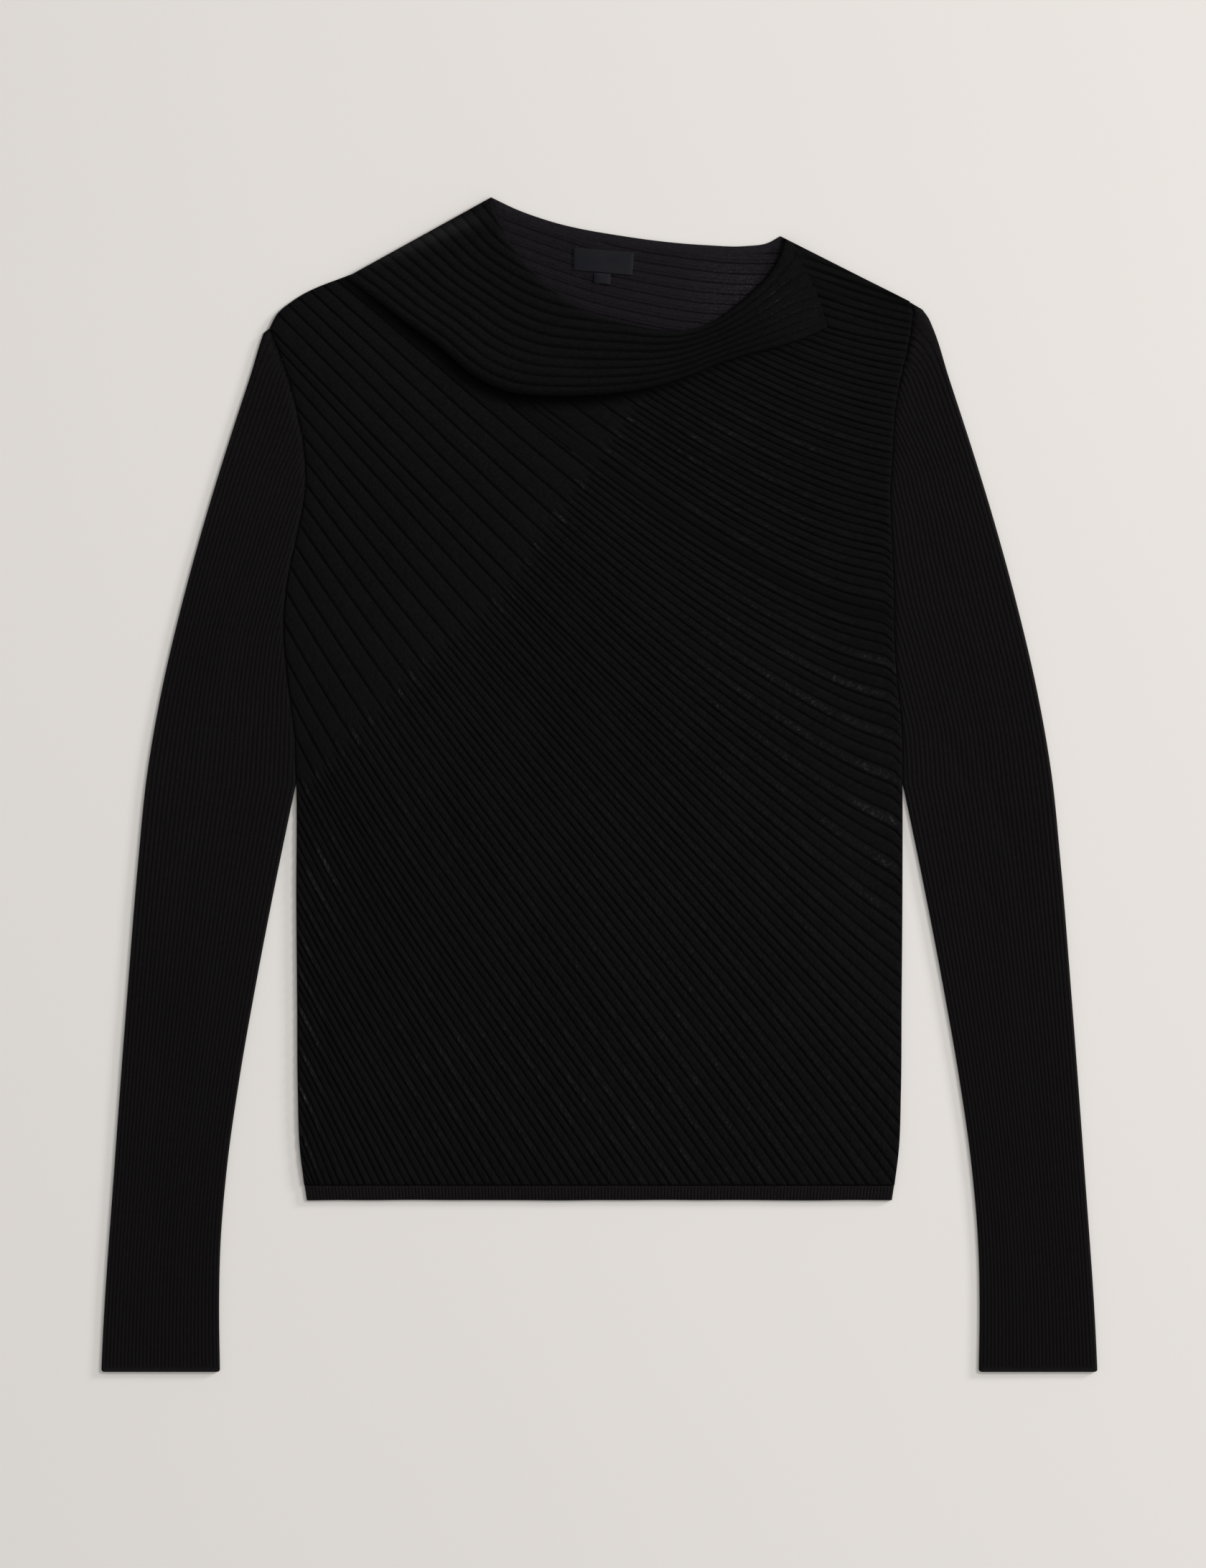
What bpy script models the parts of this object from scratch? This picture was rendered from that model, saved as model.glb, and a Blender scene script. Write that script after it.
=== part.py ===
"""A ribbed knit top with long sleeves and a draped, one-sided neck, laid flat on its back.

Every size below is in millimetres. X runs across the top, Y towards the neck and Z up from the
ground. The back lies on the ground, the front lies on the back, and each sleeve is a flattened
tube beside them. The front's ribs run slantwise, as a fan from the left shoulder and side to the
right side and hem.
"""

import bmesh
import bpy
import numpy as np
from mathutils import Vector
from mathutils.geometry import delaunay_2d_cdt

MM = 0.001
LEAST = 1e-6

# Driving heights of the layers, from the ground up.
SEAM_GAP = 0.3
BACK_WALL = 1.1
FRONT_FLOOR = BACK_WALL + SEAM_GAP
FRONT_WALL = 1.1
RIB_HEIGHT = 0.8
SLEEVE_HOLLOW = 0.4
SLEEVE_WALL = 1.0
SLEEVE_RIB_HEIGHT = 0.55
BAND_WALL = 0.9
BAND_RIB_HEIGHT = 0.45
BAND_EDGE_DROP = 0.7
GROUND_CHAMFER = 0.4

# How the cloth rounds over at a fold or a sewn edge: the width of the rounding and its drop.
FOLD_ROUND = 2.4
FRONT_EDGE_DROP = 0.35
SLEEVE_EDGE_DROP = 0.9

# Steps between the points of a smooth outline: for reading a curve, and for the plain outlines.
CURVE_STEP = 2.0
NECK_STEP = 6.0
SIDE_STEP = 7.0

# Outline of the body: (x, y) down each side, from the shoulder's end past the armhole to the hem.
LEFT_SIDE = (
    (-202.0, 279.6), (-195.0, 262.5), (-185.2, 229.0), (-180.2, 200.0), (-180.2, 180.0),
    (-185.2, 152.9), (-190.5, 128.3), (-193.2, 102.3), (-190.5, 61.4), (-187.0, 35.0),
    (-185.7, -1.0), (-185.7, -69.0), (-185.2, -135.0), (-184.8, -188.0), (-183.4, -225.0),
    (-180.8, -245.7),
)
RIGHT_SIDE = (
    (192.3, 288.9), (190.0, 273.0), (185.2, 251.5), (181.3, 230.0), (179.6, 200.0),
    (178.2, 177.0), (179.1, 154.2), (180.5, 120.3), (180.8, 87.3), (182.5, 62.0),
    (185.3, 35.0), (185.7, -1.0), (185.7, -69.0), (185.2, -135.0), (184.8, -188.0),
    (183.4, -225.0), (180.8, -245.7),
)
LEFT_NECK_POINT = (-66.4, 359.7)
RIGHT_NECK_POINT = (110.9, 335.9)
LEFT_SHOULDER = ((-147.4, 314.4), (-187.0, 296.8), (-197.5, 288.0), (-202.0, 279.6))
RIGHT_SHOULDER_TIP = (190.1, 295.9)
BACK_NECK = (
    LEFT_NECK_POINT, (-50.6, 352.2), (-30.8, 345.2), (17.2, 335.5), (65.1, 330.4),
    (89.3, 329.8), (103.4, 331.8), RIGHT_NECK_POINT,
)
HEM_SEAM_Y = -245.7

# The front's upper edge: beside the cowl's end, then hidden below the cowl to the left shoulder.
COWL_END_EDGE = ((113.1, 334.6), (130.2, 305.6), (138.6, 281.8))
HIDDEN_EDGE = (
    (138.6, 281.8), (121.0, 280.5), (90.2, 272.5), (66.0, 266.4), (28.6, 252.8), (2.6, 249.7),
    (-43.6, 248.8), (-59.0, 250.1), (-74.4, 257.2), (-89.8, 269.5), (-127.2, 295.0),
    (-138.6, 303.8), (-147.4, 314.4),
)

# Ribs of the front, one row for each traced rib. A rib unit is three ribs: two narrow, one broad.
# Start and end are distances along the front's upper-left and lower-right edges, slopes are in
# degrees below the horizontal.
FRONT_GUIDE_COLUMNS = ("unit", "start", "start_slope", "end", "end_slope")
FRONT_GUIDES = (
    (0.0, 0.0, 27, 0.0, 27),
    (1.5, 33.0, 21, 7.0, 16),
    (2.5, 49.0, 19, 20.0, 9),
    (3.5, 76.0, 21, 34.0, 8),
    (5.0, 105.0, 25, 54.0, 9),
    (7.0, 139.0, 28, 81.0, 11),
    (9.0, 169.0, 30, 109.0, 12),
    (11.0, 205.0, 33, 140.0, 13),
    (13.0, 242.0, 35, 173.0, 15),
    (14.0, 262.0, 37, 191.0, 16),
    (14.4, 318.0, 38, 199.0, 16),
    (14.8, 371.0, 39, 207.0, 17),
    (15.5, 381.0, 39, 221.0, 18),
    (17.0, 395.0, 41, 254.0, 21),
    (19.0, 412.0, 43, 304.0, 26),
    (21.0, 428.0, 45, 359.0, 34),
    (23.0, 453.0, 47, 417.0, 41),
    (25.0, 490.0, 50, 476.0, 47),
    (27.4, 529.0, 53, 546.0, 54),
    (30.0, 562.0, 56, 602.0, 55),
    (33.0, 604.0, 60, 662.0, 55),
    (37.0, 693.0, 64, 736.0, 57),
    (41.0, 791.0, 63, 806.0, 60),
    (45.0, 885.0, 63, 868.0, 65),
    (47.0, 936.0, 65, 896.0, 68),
    (47.6, 955.0, 66, 901.0, 68),
)
# Heights across one rib unit, as shares of the rib height, where the ribs are fine and where a
# unit is one broad rib.
UNIT_COLUMNS = ("place", "fine", "broad")
RIB_UNIT = (
    (0.0, 0.0, 0.0),
    (0.14, 1.0, 0.9),
    (0.30, 0.1, 1.0),
    (0.47, 0.95, 1.0),
    (0.66, 0.6, 1.0),
    (0.85, 1.0, 0.9),
    (1.0, 0.0, 0.0),
)
# The ribs are broad above and left of this line and fine below it.
SPLIT_LINE = (
    (-185.0, -8.0), (-146.0, 34.0), (-101.0, 79.0), (-60.0, 111.0), (-27.0, 162.0), (29.0, 241.0),
)
SPLIT_WIDTH = 14.0
FRONT_STATIONS = 9
LAST_RIB_MARGIN = 0.05
MARGIN_SHARE = 0.15
# Beside the cowl's right end the front swells, where the fold dies out in it.
SWELL_RISE = 1.5
SWELL_REACH = 40.0
SWELL_LOW_Y = 286.0

# Sleeve: outer edge, with the cap's top row first, and inner edge below the underarm.
SLEEVE_OUTER = (
    (197.0, 292.0), (201.5, 286.0), (204.4, 279.6), (214.0, 249.7), (224.8, 216.7), (241.1, 163.9),
    (255.6, 111.1), (268.0, 58.3), (277.2, 5.5), (282.6, -47.3), (289.1, -126.5), (297.0, -232.1),
    (304.2, -337.7), (305.2, -359.7),
)
SLEEVE_INNER = (
    (186.2, -1.0), (190.4, -21.0), (201.2, -74.0), (211.2, -126.5), (220.4, -179.3), (227.9, -232.1),
    (232.3, -285.0), (233.0, -320.0), (232.5, -359.7),
)
# Ribs across the sleeve at each height: they start one by one along the armhole.
SLEEVE_PITCH_COLUMNS = ("y", "ribs")
SLEEVE_PITCHES = (
    (300.0, 0.0), (276.0, 2.4), (262.0, 6.0), (250.0, 9.5), (217.0, 15.5), (190.0, 20.5),
    (164.0, 22.8), (137.0, 23.8), (111.0, 25.4), (85.0, 28.0), (58.0, 30.0), (32.0, 31.4),
    (2.0, 32.0),
)
SLEEVE_RIBS = 32
# Distances below the cap at which the ribs beside the armhole are read, then the steps to the cuff.
SLEEVE_HIGH_STATIONS = (
    0.0, 2.4, 9.0, 20.0, 36.0, 58.0, 84.0, 110.0, 134.0, 156.0, 178.0, 200.0, 220.0, 240.0,
    258.0, 288.0,
)
SLEEVE_LOW_STATIONS = 5
SLEEVE_CLEARANCE = 0.48
HOLLOW_INSET = 2.0
HOLLOW_REACH = 3.0
HOLLOW_HIGH_STEPS = 12
HOLLOW_LOW_STEPS = 24
SLEEVE_HOLLOW_TIP = 14.0
UNDERARM_Y = 128.0
UNDERARM_TAPER = 8.0
CUFF_Y = -359.7
CUFF_EDGE = 2.6
LEFT_CAP_Y = 276.5
RIGHT_CAP_Y = 291.0

# Cowl: each row gives the neck edge, the lower fold, the ribs between them and the fold's rise.
COWL_COLUMNS = ("neck_x", "neck_y", "fold_x", "fold_y", "ribs", "rise")
COWL_SECTIONS = (
    (-66.4, 359.3, -155.4, 310.2, 14.0, 0.6),
    (-62.9, 348.7, -138.6, 298.0, 13.5, 1.2),
    (-56.8, 335.1, -121.0, 284.5, 12.8, 1.9),
    (-46.6, 321.0, -99.0, 268.6, 11.8, 2.3),
    (-34.3, 308.2, -77.0, 250.1, 10.7, 2.5),
    (-19.8, 296.8, -54.1, 240.0, 9.7, 2.6),
    (-2.2, 288.0, -26.4, 237.8, 8.8, 2.6),
    (16.7, 282.6, 2.6, 238.8, 8.3, 2.6),
    (35.2, 278.6, 28.6, 242.2, 8.1, 2.5),
    (50.6, 277.9, 50.6, 248.4, 8.0, 2.3),
    (66.0, 281.8, 70.4, 256.4, 8.0, 2.1),
    (79.2, 289.7, 90.6, 262.9, 8.0, 1.9),
    (92.4, 300.7, 107.8, 267.3, 8.0, 1.6),
    (103.4, 311.7, 121.0, 271.4, 8.0, 1.3),
    (109.6, 323.0, 130.0, 275.4, 8.0, 0.9),
    (112.4, 334.3, 137.6, 280.2, 8.0, 0.5),
)
COWL_LIFT = FRONT_FLOOR + FRONT_WALL + RIB_HEIGHT + SEAM_GAP
COWL_WALL = 1.2
COWL_RIB_HEIGHT = 0.7
COWL_RIB_STEPS = (0.0, 0.32, 0.68)
COWL_ROUND = 4.5
COWL_LENGTH = 300.0
COWL_ROLL_PLACE = 9.0
COWL_ROLL_WIDTH = 9.0
COWL_FLAT_SHARE = 0.55
COWL_OVERLAP = 12.5
COWL_STEP = 2.5
COWL_STATIONS = 30

# Hem band: a flattened ring with fine upright ribs.
BAND_TOP_HALF = 180.6
BAND_BOTTOM_HALF = 179.2
BAND_BOTTOM_Y = -254.8
BAND_PITCH = 2.04

# Inside of the back neck: ribs that show in the neck opening, below a plain turned edge.
NECK_RIB_PITCH = 5.1
NECK_RIB_SLOPE = -0.13
NECK_RIB_HEIGHT = 0.5
NECK_EDGE_WIDTH = 5.2
NECK_RIB_CLEARANCE = 2.0
NECK_RIB_FIRST_Y = 279.0
NECK_RIB_LAST_Y = 350.0
NECK_RIB_SPAN = (-60.0, 108.0)
NECK_RIB_MIDDLE_X = 50.0
NECK_RIB_SAMPLES = 60
NECK_RIB_STATIONS = 12
NECK_RIB_LEAST = 4

# Labels, bare satin: corners of the neck label and of the tab below it.
NECK_LABEL = ((-15.8, 328.9), (21.1, 325.8), (20.2, 311.9), (-15.8, 315.2))
SIZE_TAB = ((-3.2, 313.6), (7.0, 312.7), (6.9, 306.0), (-3.3, 306.8))
LABEL_THICKNESS = 1.0
LABEL_LIFT = BACK_WALL + NECK_RIB_HEIGHT + SEAM_GAP

SOOT = (0.0045, 0.0045, 0.0052)
SLEEVE_BLACK = (0.0065, 0.0058, 0.0065)
INNER_BLACK = (0.0095, 0.0072, 0.0095)
BAND_BLACK = (0.0078, 0.0066, 0.0082)
SATIN = (0.016, 0.017, 0.024)


def clear_scene():
    for thing in list(bpy.data.objects):
        bpy.data.objects.remove(thing, do_unlink=True)


def finish(name, colour, roughness):
    material = bpy.data.materials.new(name)
    material.use_nodes = True
    shader = material.node_tree.nodes["Principled BSDF"]
    shader.inputs["Base Color"].default_value = (*colour, 1.0)
    shader.inputs["Roughness"].default_value = roughness
    shader.inputs["Metallic"].default_value = 0.0
    return material


def read_table(knots, values, at):
    """Reads a table between its rows, on a smooth curve through them."""
    knots = np.asarray(knots, float)
    values = np.asarray(values, float)
    gaps = np.diff(knots)
    slopes = np.diff(values, axis=0) / gaps[:, None]
    before = gaps[:-1, None]
    after = gaps[1:, None]
    tangents = np.concatenate(
        [slopes[:1], (slopes[:-1] * after + slopes[1:] * before) / (before + after), slopes[-1:]]
    )
    at = np.asarray(at, float)
    cell = np.clip(np.searchsorted(knots, at, side="right") - 1, 0, len(gaps) - 1)
    gap = gaps[cell][:, None]
    t = (at - knots[cell])[:, None] / gap
    first = (1 + 2 * t) * (1 - t) ** 2 * values[cell]
    last = t * t * (3 - 2 * t) * values[cell + 1]
    leave = t * (1 - t) ** 2 * gap * tangents[cell]
    arrive = t * t * (t - 1) * gap * tangents[cell + 1]
    return first + last + leave + arrive


def columns(table, names):
    """The table's columns by name."""
    return dict(zip(names, np.array(table, float).T))


def distances_along(points):
    steps = np.hypot(*np.diff(points, axis=0).T)
    return np.concatenate([[0.0], np.cumsum(steps)])


def smooth_curve(points, spacing=CURVE_STEP):
    """Points on a smooth curve through the given ones."""
    points = np.asarray(points, float)
    along = distances_along(points)
    count = max(2, int(round(along[-1] / spacing)) + 1)
    return read_table(along, points, np.linspace(0.0, along[-1], count))


class Edge:
    """A panel's edge, read by the distance along it, with its corners kept."""

    def __init__(self, *stretches):
        joined = [np.asarray(stretches[0], float)]
        for stretch in stretches[1:]:
            joined.append(np.asarray(stretch, float)[1:])
        self.points = np.concatenate(joined)
        self.along = distances_along(self.points)
        self.length = self.along[-1]
        ends = np.cumsum([len(part) for part in joined]) - 1
        self.corners = self.along[ends[:-1]]

    def at(self, distance):
        x = np.interp(distance, self.along, self.points[:, 0])
        y = np.interp(distance, self.along, self.points[:, 1])
        return np.stack([x, y], axis=-1)

    def snapped(self, distance):
        """The distances, with the one nearest each corner moved onto it."""
        distance = np.array(distance, float)
        for corner in self.corners:
            distance[np.argmin(np.abs(distance - corner))] = corner
        return distance


def rounding(distance, width):
    """How far a quarter-round edge lies below its top, as a share of the drop."""
    inward = np.clip(1.0 - np.asarray(distance, float) / width, 0.0, 1.0)
    return 1.0 - np.sqrt(1.0 - inward ** 2)


def grid_loop(rows, across):
    """Row and column of each point round a grid's rim, in order."""
    rim = [(0, j) for j in range(across)]
    rim += [(i, across - 1) for i in range(1, rows)]
    rim += [(rows - 1, j) for j in range(across - 2, -1, -1)]
    rim += [(i, 0) for i in range(rows - 2, 0, -1)]
    return rim


def inset_loop(points, distance):
    """The closed outline moved inwards."""
    before = np.roll(points, 1, axis=0)
    after = np.roll(points, -1, axis=0)
    along = after - before
    area = np.sum(before[:, 0] * points[:, 1] - points[:, 0] * before[:, 1])
    inward = np.stack([-along[:, 1], along[:, 0]], axis=1) * np.sign(area)
    length = np.maximum(np.hypot(inward[:, 0], inward[:, 1]), LEAST)
    return points + inward / length[:, None] * distance


def object_from(name, mesh, material):
    mesh.materials.append(material)
    thing = bpy.data.objects.new(name, mesh)
    bpy.context.collection.objects.link(thing)
    return thing


def closed_mesh(name, build):
    """A mesh from a bmesh that the given function fills, in metres, with its faces turned out."""
    shape = bmesh.new()
    build(shape)
    bmesh.ops.recalc_face_normals(shape, faces=shape.faces)
    mesh = bpy.data.meshes.new(name)
    shape.to_mesh(mesh)
    shape.free()
    return mesh


def add_points(shape, flat, heights):
    return [
        shape.verts.new((x * MM, y * MM, z * MM))
        for (x, y), z in zip(np.asarray(flat, float), np.broadcast_to(heights, len(flat)))
    ]


def shared_points(shape, grid, tops):
    """The grid's points, where points that fall on one place are one."""
    made = {}
    verts = []
    for line, heights in zip(grid, tops):
        row = []
        for (x, y), z in zip(line, heights):
            place = (round(float(x), 2), round(float(y), 2), round(float(z), 2))
            if place not in made:
                made[place] = shape.verts.new((x * MM, y * MM, z * MM))
            row.append(made[place])
        verts.append(row)
    return verts


def fill_loop(shape, loop, flat, inner_flat=(), inner_heights=(), inner_lines=()):
    """Fills a closed loop of points with triangles, over any points given inside it."""
    count = len(loop)
    points = [Vector(p) for p in flat] + [Vector(p) for p in inner_flat]
    lines = [(i, (i + 1) % count) for i in range(count)]
    lines += [(count + a, count + b) for a, b in inner_lines]
    inner = add_points(shape, inner_flat, inner_heights) if len(inner_flat) else []
    corners = list(loop) + inner
    out = delaunay_2d_cdt(points, lines, [], 1, 1e-5)
    sources = out[3]
    for face in out[2]:
        shape.faces.new([corners[sources[k][0]] for k in face])


def band_between(shape, upper, lower):
    count = len(upper)
    for i in range(count):
        k = (i + 1) % count
        shape.faces.new((upper[i], upper[k], lower[k], lower[i]))


def ribbed_sheet(shape, grid, tops, floor, chamfer=0.0, inner=None):
    """A closed wall: the grid raised to its tops, a rim, and a plain underside.

    The floor is one height or one for each rim point. A chamfer sets the underside in.
    """
    rows, across = tops.shape
    verts = shared_points(shape, grid, tops)
    for i in range(rows - 1):
        for j in range(across - 1):
            corners = (verts[i][j], verts[i + 1][j], verts[i + 1][j + 1], verts[i][j + 1])
            corners = list(dict.fromkeys(corners))
            if len(corners) > 2:
                shape.faces.new(corners)
    rim = grid_loop(rows, across)
    around = [verts[i][j] for i, j in rim]
    kept = [k for k in range(len(rim)) if around[k] is not around[k - 1]]
    loop = [around[k] for k in kept]
    flat = np.array([grid[rim[k][0]][rim[k][1]] for k in kept])
    floor = np.broadcast_to(floor, len(rim))[kept]
    under_flat = flat
    if chamfer:
        lower = add_points(shape, flat, floor + chamfer)
        band_between(shape, loop, lower)
        loop = lower
        under_flat = inset_loop(flat, chamfer)
    under = add_points(shape, under_flat, floor)
    band_between(shape, loop, under)
    if inner is None:
        fill_loop(shape, under, under_flat)
    else:
        fill_loop(shape, under, under_flat, *inner)


def plate(shape, flat, bottom, top, chamfer=0.0):
    """A flat plate of the given outline."""
    flat = np.asarray(flat, float)
    upper = add_points(shape, flat, top)
    fill_loop(shape, upper, flat)
    loop = upper
    under_flat = flat
    if chamfer:
        loop = add_points(shape, flat, bottom + chamfer)
        band_between(shape, upper, loop)
        under_flat = inset_loop(flat, chamfer)
    under = add_points(shape, under_flat, bottom)
    band_between(shape, loop, under)
    fill_loop(shape, under, under_flat)


def front_edges():
    """The edges where the front's ribs start, upper left, and end, lower right."""
    start = Edge(
        smooth_curve(COWL_END_EDGE),
        smooth_curve(HIDDEN_EDGE),
        smooth_curve(LEFT_SHOULDER),
        smooth_curve(LEFT_SIDE),
    )
    right_side = smooth_curve(RIGHT_SIDE)
    end = Edge(
        (RIGHT_SHOULDER_TIP, RIGHT_SIDE[0]),
        right_side,
        (RIGHT_SIDE[-1], LEFT_SIDE[-1]),
    )
    return start, end


def rib_curves(starts, start_slopes, ends, end_slopes, reach):
    """Smooth lines from starts to ends with the given slopes, each read at its own distances."""
    chord = np.hypot(*(ends - starts).T)[:, None]
    leave = np.stack([np.cos(start_slopes), -np.sin(start_slopes)], axis=1) * chord
    arrive = np.stack([np.cos(end_slopes), -np.sin(end_slopes)], axis=1) * chord
    t = (reach / chord)[:, :, None]
    first = (1 + 2 * t) * (1 - t) ** 2 * starts[:, None]
    last = t * t * (3 - 2 * t) * ends[:, None]
    bend = t * (1 - t) ** 2 * leave[:, None] + t * t * (t - 1) * arrive[:, None]
    return first + last + bend


def stations_on(lengths, count, margin):
    """Distances along each line: its ends, a short margin inside them and even steps between."""
    inset = np.minimum(margin, lengths * MARGIN_SHARE)
    even = np.linspace(0.0, 1.0, count - 2)
    middle = inset[:, None] + (lengths - 2 * inset)[:, None] * even
    return np.concatenate([np.zeros((len(lengths), 1)), middle, lengths[:, None]], axis=1)


def front_rows():
    """Unit numbers of the front's rib lines, from the right shoulder down."""
    places = [row[0] for row in RIB_UNIT[:-1]]
    last_unit = FRONT_GUIDES[-1][0]
    units = [whole + place for whole in range(int(last_unit) + 1) for place in places]
    return np.array([unit for unit in units if unit < last_unit - LAST_RIB_MARGIN] + [last_unit])


def fine_share(flat):
    """0 where the front's ribs are broad and 1 where they are fine."""
    line = np.array(SPLIT_LINE)
    split = np.interp(flat[..., 0], line[:, 0], line[:, 1])
    return np.clip((split - flat[..., 1]) / SPLIT_WIDTH + 0.5, 0.0, 1.0)


def front_relief(units, flat):
    profile = columns(RIB_UNIT, UNIT_COLUMNS)
    place = (units % 1.0)[:, None]
    fine = np.interp(place, profile["place"], profile["fine"])
    broad = np.interp(place, profile["place"], profile["broad"])
    share = fine_share(flat)
    return broad + (fine - broad) * share


def front_swell(flat):
    """How far the front swells beside the cowl's end."""
    line = np.array(COWL_END_EDGE[::-1])
    beyond = flat[..., 0] - np.interp(flat[..., 1], line[:, 1], line[:, 0]) + SEAM_GAP
    share = np.clip(1.0 - beyond / SWELL_REACH, 0.0, 1.0) ** 2
    high = np.clip((flat[..., 1] - SWELL_LOW_Y) / (line[-1, 1] - SWELL_LOW_Y), 0.0, 1.0)
    return np.where(beyond > 0.0, SWELL_RISE * share * high, 0.0)


def build_front(material):
    start, end = front_edges()
    guide = columns(FRONT_GUIDES, FRONT_GUIDE_COLUMNS)
    units = front_rows()
    starts_at = start.snapped(np.interp(units, guide["unit"], guide["start"]))
    ends_at = end.snapped(np.interp(units, guide["unit"], guide["end"]))
    start_slopes = np.radians(np.interp(units, guide["unit"], guide["start_slope"]))
    end_slopes = np.radians(np.interp(units, guide["unit"], guide["end_slope"]))
    starts = start.at(starts_at)
    ends = end.at(ends_at)
    lengths = np.hypot(*(ends - starts).T)
    reach = stations_on(lengths, FRONT_STATIONS, FOLD_ROUND)
    grid = rib_curves(starts, start_slopes, ends, end_slopes, reach)
    corner_row = np.linspace(0.0, 2.0, FRONT_STATIONS)
    corner = np.array(LEFT_SIDE[-1])
    first_part = starts[-1] + (corner - starts[-1]) * np.minimum(corner_row, 1.0)[:, None]
    second_part = (ends[-1] - corner) * np.maximum(corner_row - 1.0, 0.0)[:, None]
    grid = np.concatenate([grid, (first_part + second_part)[None]])
    units = np.append(units, units[-1])
    relief = front_relief(units, grid)
    from_edge = np.minimum(reach, lengths[:, None] - reach)
    from_edge = np.concatenate([from_edge, np.zeros((1, FRONT_STATIONS))])
    from_edge[0] = 0.0
    edge = rounding(from_edge, FOLD_ROUND)
    tops = FRONT_FLOOR + FRONT_WALL - FRONT_EDGE_DROP * edge + RIB_HEIGHT * relief * (1.0 - edge)
    tops += front_swell(grid)

    def build(shape):
        ribbed_sheet(shape, grid, tops, FRONT_FLOOR)

    return object_from("front_panel", closed_mesh("front_panel", build), material)


def side_x(side, y):
    """Where a body side lies at a height, as a distance from the middle."""
    curve = smooth_curve(side)
    order = np.argsort(curve[:, 1])
    return np.abs(np.interp(y, curve[order, 1], curve[order, 0]))


def sleeve_edges(side, y):
    """Outer and inner distance from the middle of a sleeve at each height."""
    outer = smooth_curve(SLEEVE_OUTER)[::-1]
    inner = smooth_curve(SLEEVE_INNER)[::-1]
    beside = side_x(side, y) + SLEEVE_CLEARANCE
    below = np.interp(y, inner[:, 1], inner[:, 0])
    joins = SLEEVE_INNER[0][1]
    return np.interp(y, outer[:, 1], outer[:, 0]), np.where(y > joins, beside, below)


def sleeve_levels(cap_y):
    """Heights at which a sleeve's ribs are read, from the cap to the cuff."""
    high = cap_y - np.array(SLEEVE_HIGH_STATIONS)
    low = np.linspace(high[-1], CUFF_Y + CUFF_EDGE, SLEEVE_LOW_STATIONS + 1)[1:]
    return np.concatenate([high, low, [CUFF_Y + CUFF_EDGE / 2, CUFF_Y]])


def build_sleeve(name, sign, side, cap_y, material):
    pitches = columns(SLEEVE_PITCHES, SLEEVE_PITCH_COLUMNS)
    counts = pitches["ribs"] - np.interp(-cap_y, -pitches["y"], pitches["ribs"])
    shown = counts > 0.0
    knots_y = np.concatenate([[cap_y], pitches["y"][shown]])
    knots_n = np.concatenate([[0.0], counts[shown] * SLEEVE_RIBS / counts[-1]])
    marks = np.arange(0, 2 * SLEEVE_RIBS + 1)[:, None] / 2.0
    y = sleeve_levels(cap_y)
    outer, inner = sleeve_edges(side, y)
    width = outer - inner
    present = np.interp(-y, -knots_y, knots_n)
    share = np.clip(marks / np.maximum(present, LEAST), 0.0, 1.0)
    share[-1] = 1.0
    x = outer - width * share
    grid = np.stack([sign * x, np.broadcast_to(y, x.shape)], axis=-1)
    from_edge = np.minimum(np.minimum(share, 1.0 - share) * width, cap_y - y)
    edge = rounding(from_edge, FOLD_ROUND)
    plain_cuff = np.clip((y - CUFF_Y) / CUFF_EDGE, 0.0, 1.0)
    relief = (marks % 1.0 > 0.0) * plain_cuff * (1.0 - edge)
    top = BACK_WALL + SLEEVE_HOLLOW + SLEEVE_WALL
    tops = top - SLEEVE_EDGE_DROP * edge + SLEEVE_RIB_HEIGHT * relief

    def build(shape):
        ribbed_sheet(shape, grid, tops, 0.0, GROUND_CHAMFER)

    sleeve = object_from(name, closed_mesh(name, build), material)
    hollow = sleeve_hollow(name + "_hollow", sign, side, cap_y, material)
    cut_with(sleeve, hollow)
    return sleeve


def sleeve_hollow(name, sign, side, cap_y, material):
    """The thin space between a sleeve's layers, open at the armhole and the cuff."""
    wall = HOLLOW_INSET
    tip = cap_y - SLEEVE_HOLLOW_TIP
    open_y = np.linspace(tip, UNDERARM_Y, HOLLOW_HIGH_STEPS)
    closed_y = np.linspace(UNDERARM_Y - UNDERARM_TAPER, CUFF_Y, HOLLOW_LOW_STEPS)
    down_y = np.concatenate([open_y, closed_y])
    outer, inner = sleeve_edges(side, down_y)
    outer_line = np.stack([sign * (outer - wall), down_y], axis=1)
    inner_x = np.where(down_y >= UNDERARM_Y, inner - wall, inner + wall)
    inner_line = np.stack([sign * inner_x, down_y], axis=1)
    outer_line[-1, 1] -= HOLLOW_REACH
    inner_line[-1, 1] -= HOLLOW_REACH
    outline = np.concatenate([outer_line, inner_line[::-1]])

    def build(shape):
        plate(shape, outline, BACK_WALL, BACK_WALL + SLEEVE_HOLLOW)

    return object_from(name, closed_mesh(name, build), material)


def cut_with(thing, cutter):
    cutter.hide_render = True
    cutter.display_type = "WIRE"
    cut = thing.modifiers.new("hollow", "BOOLEAN")
    cut.operation = "DIFFERENCE"
    cut.solver = "EXACT"
    cut.object = cutter


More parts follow.
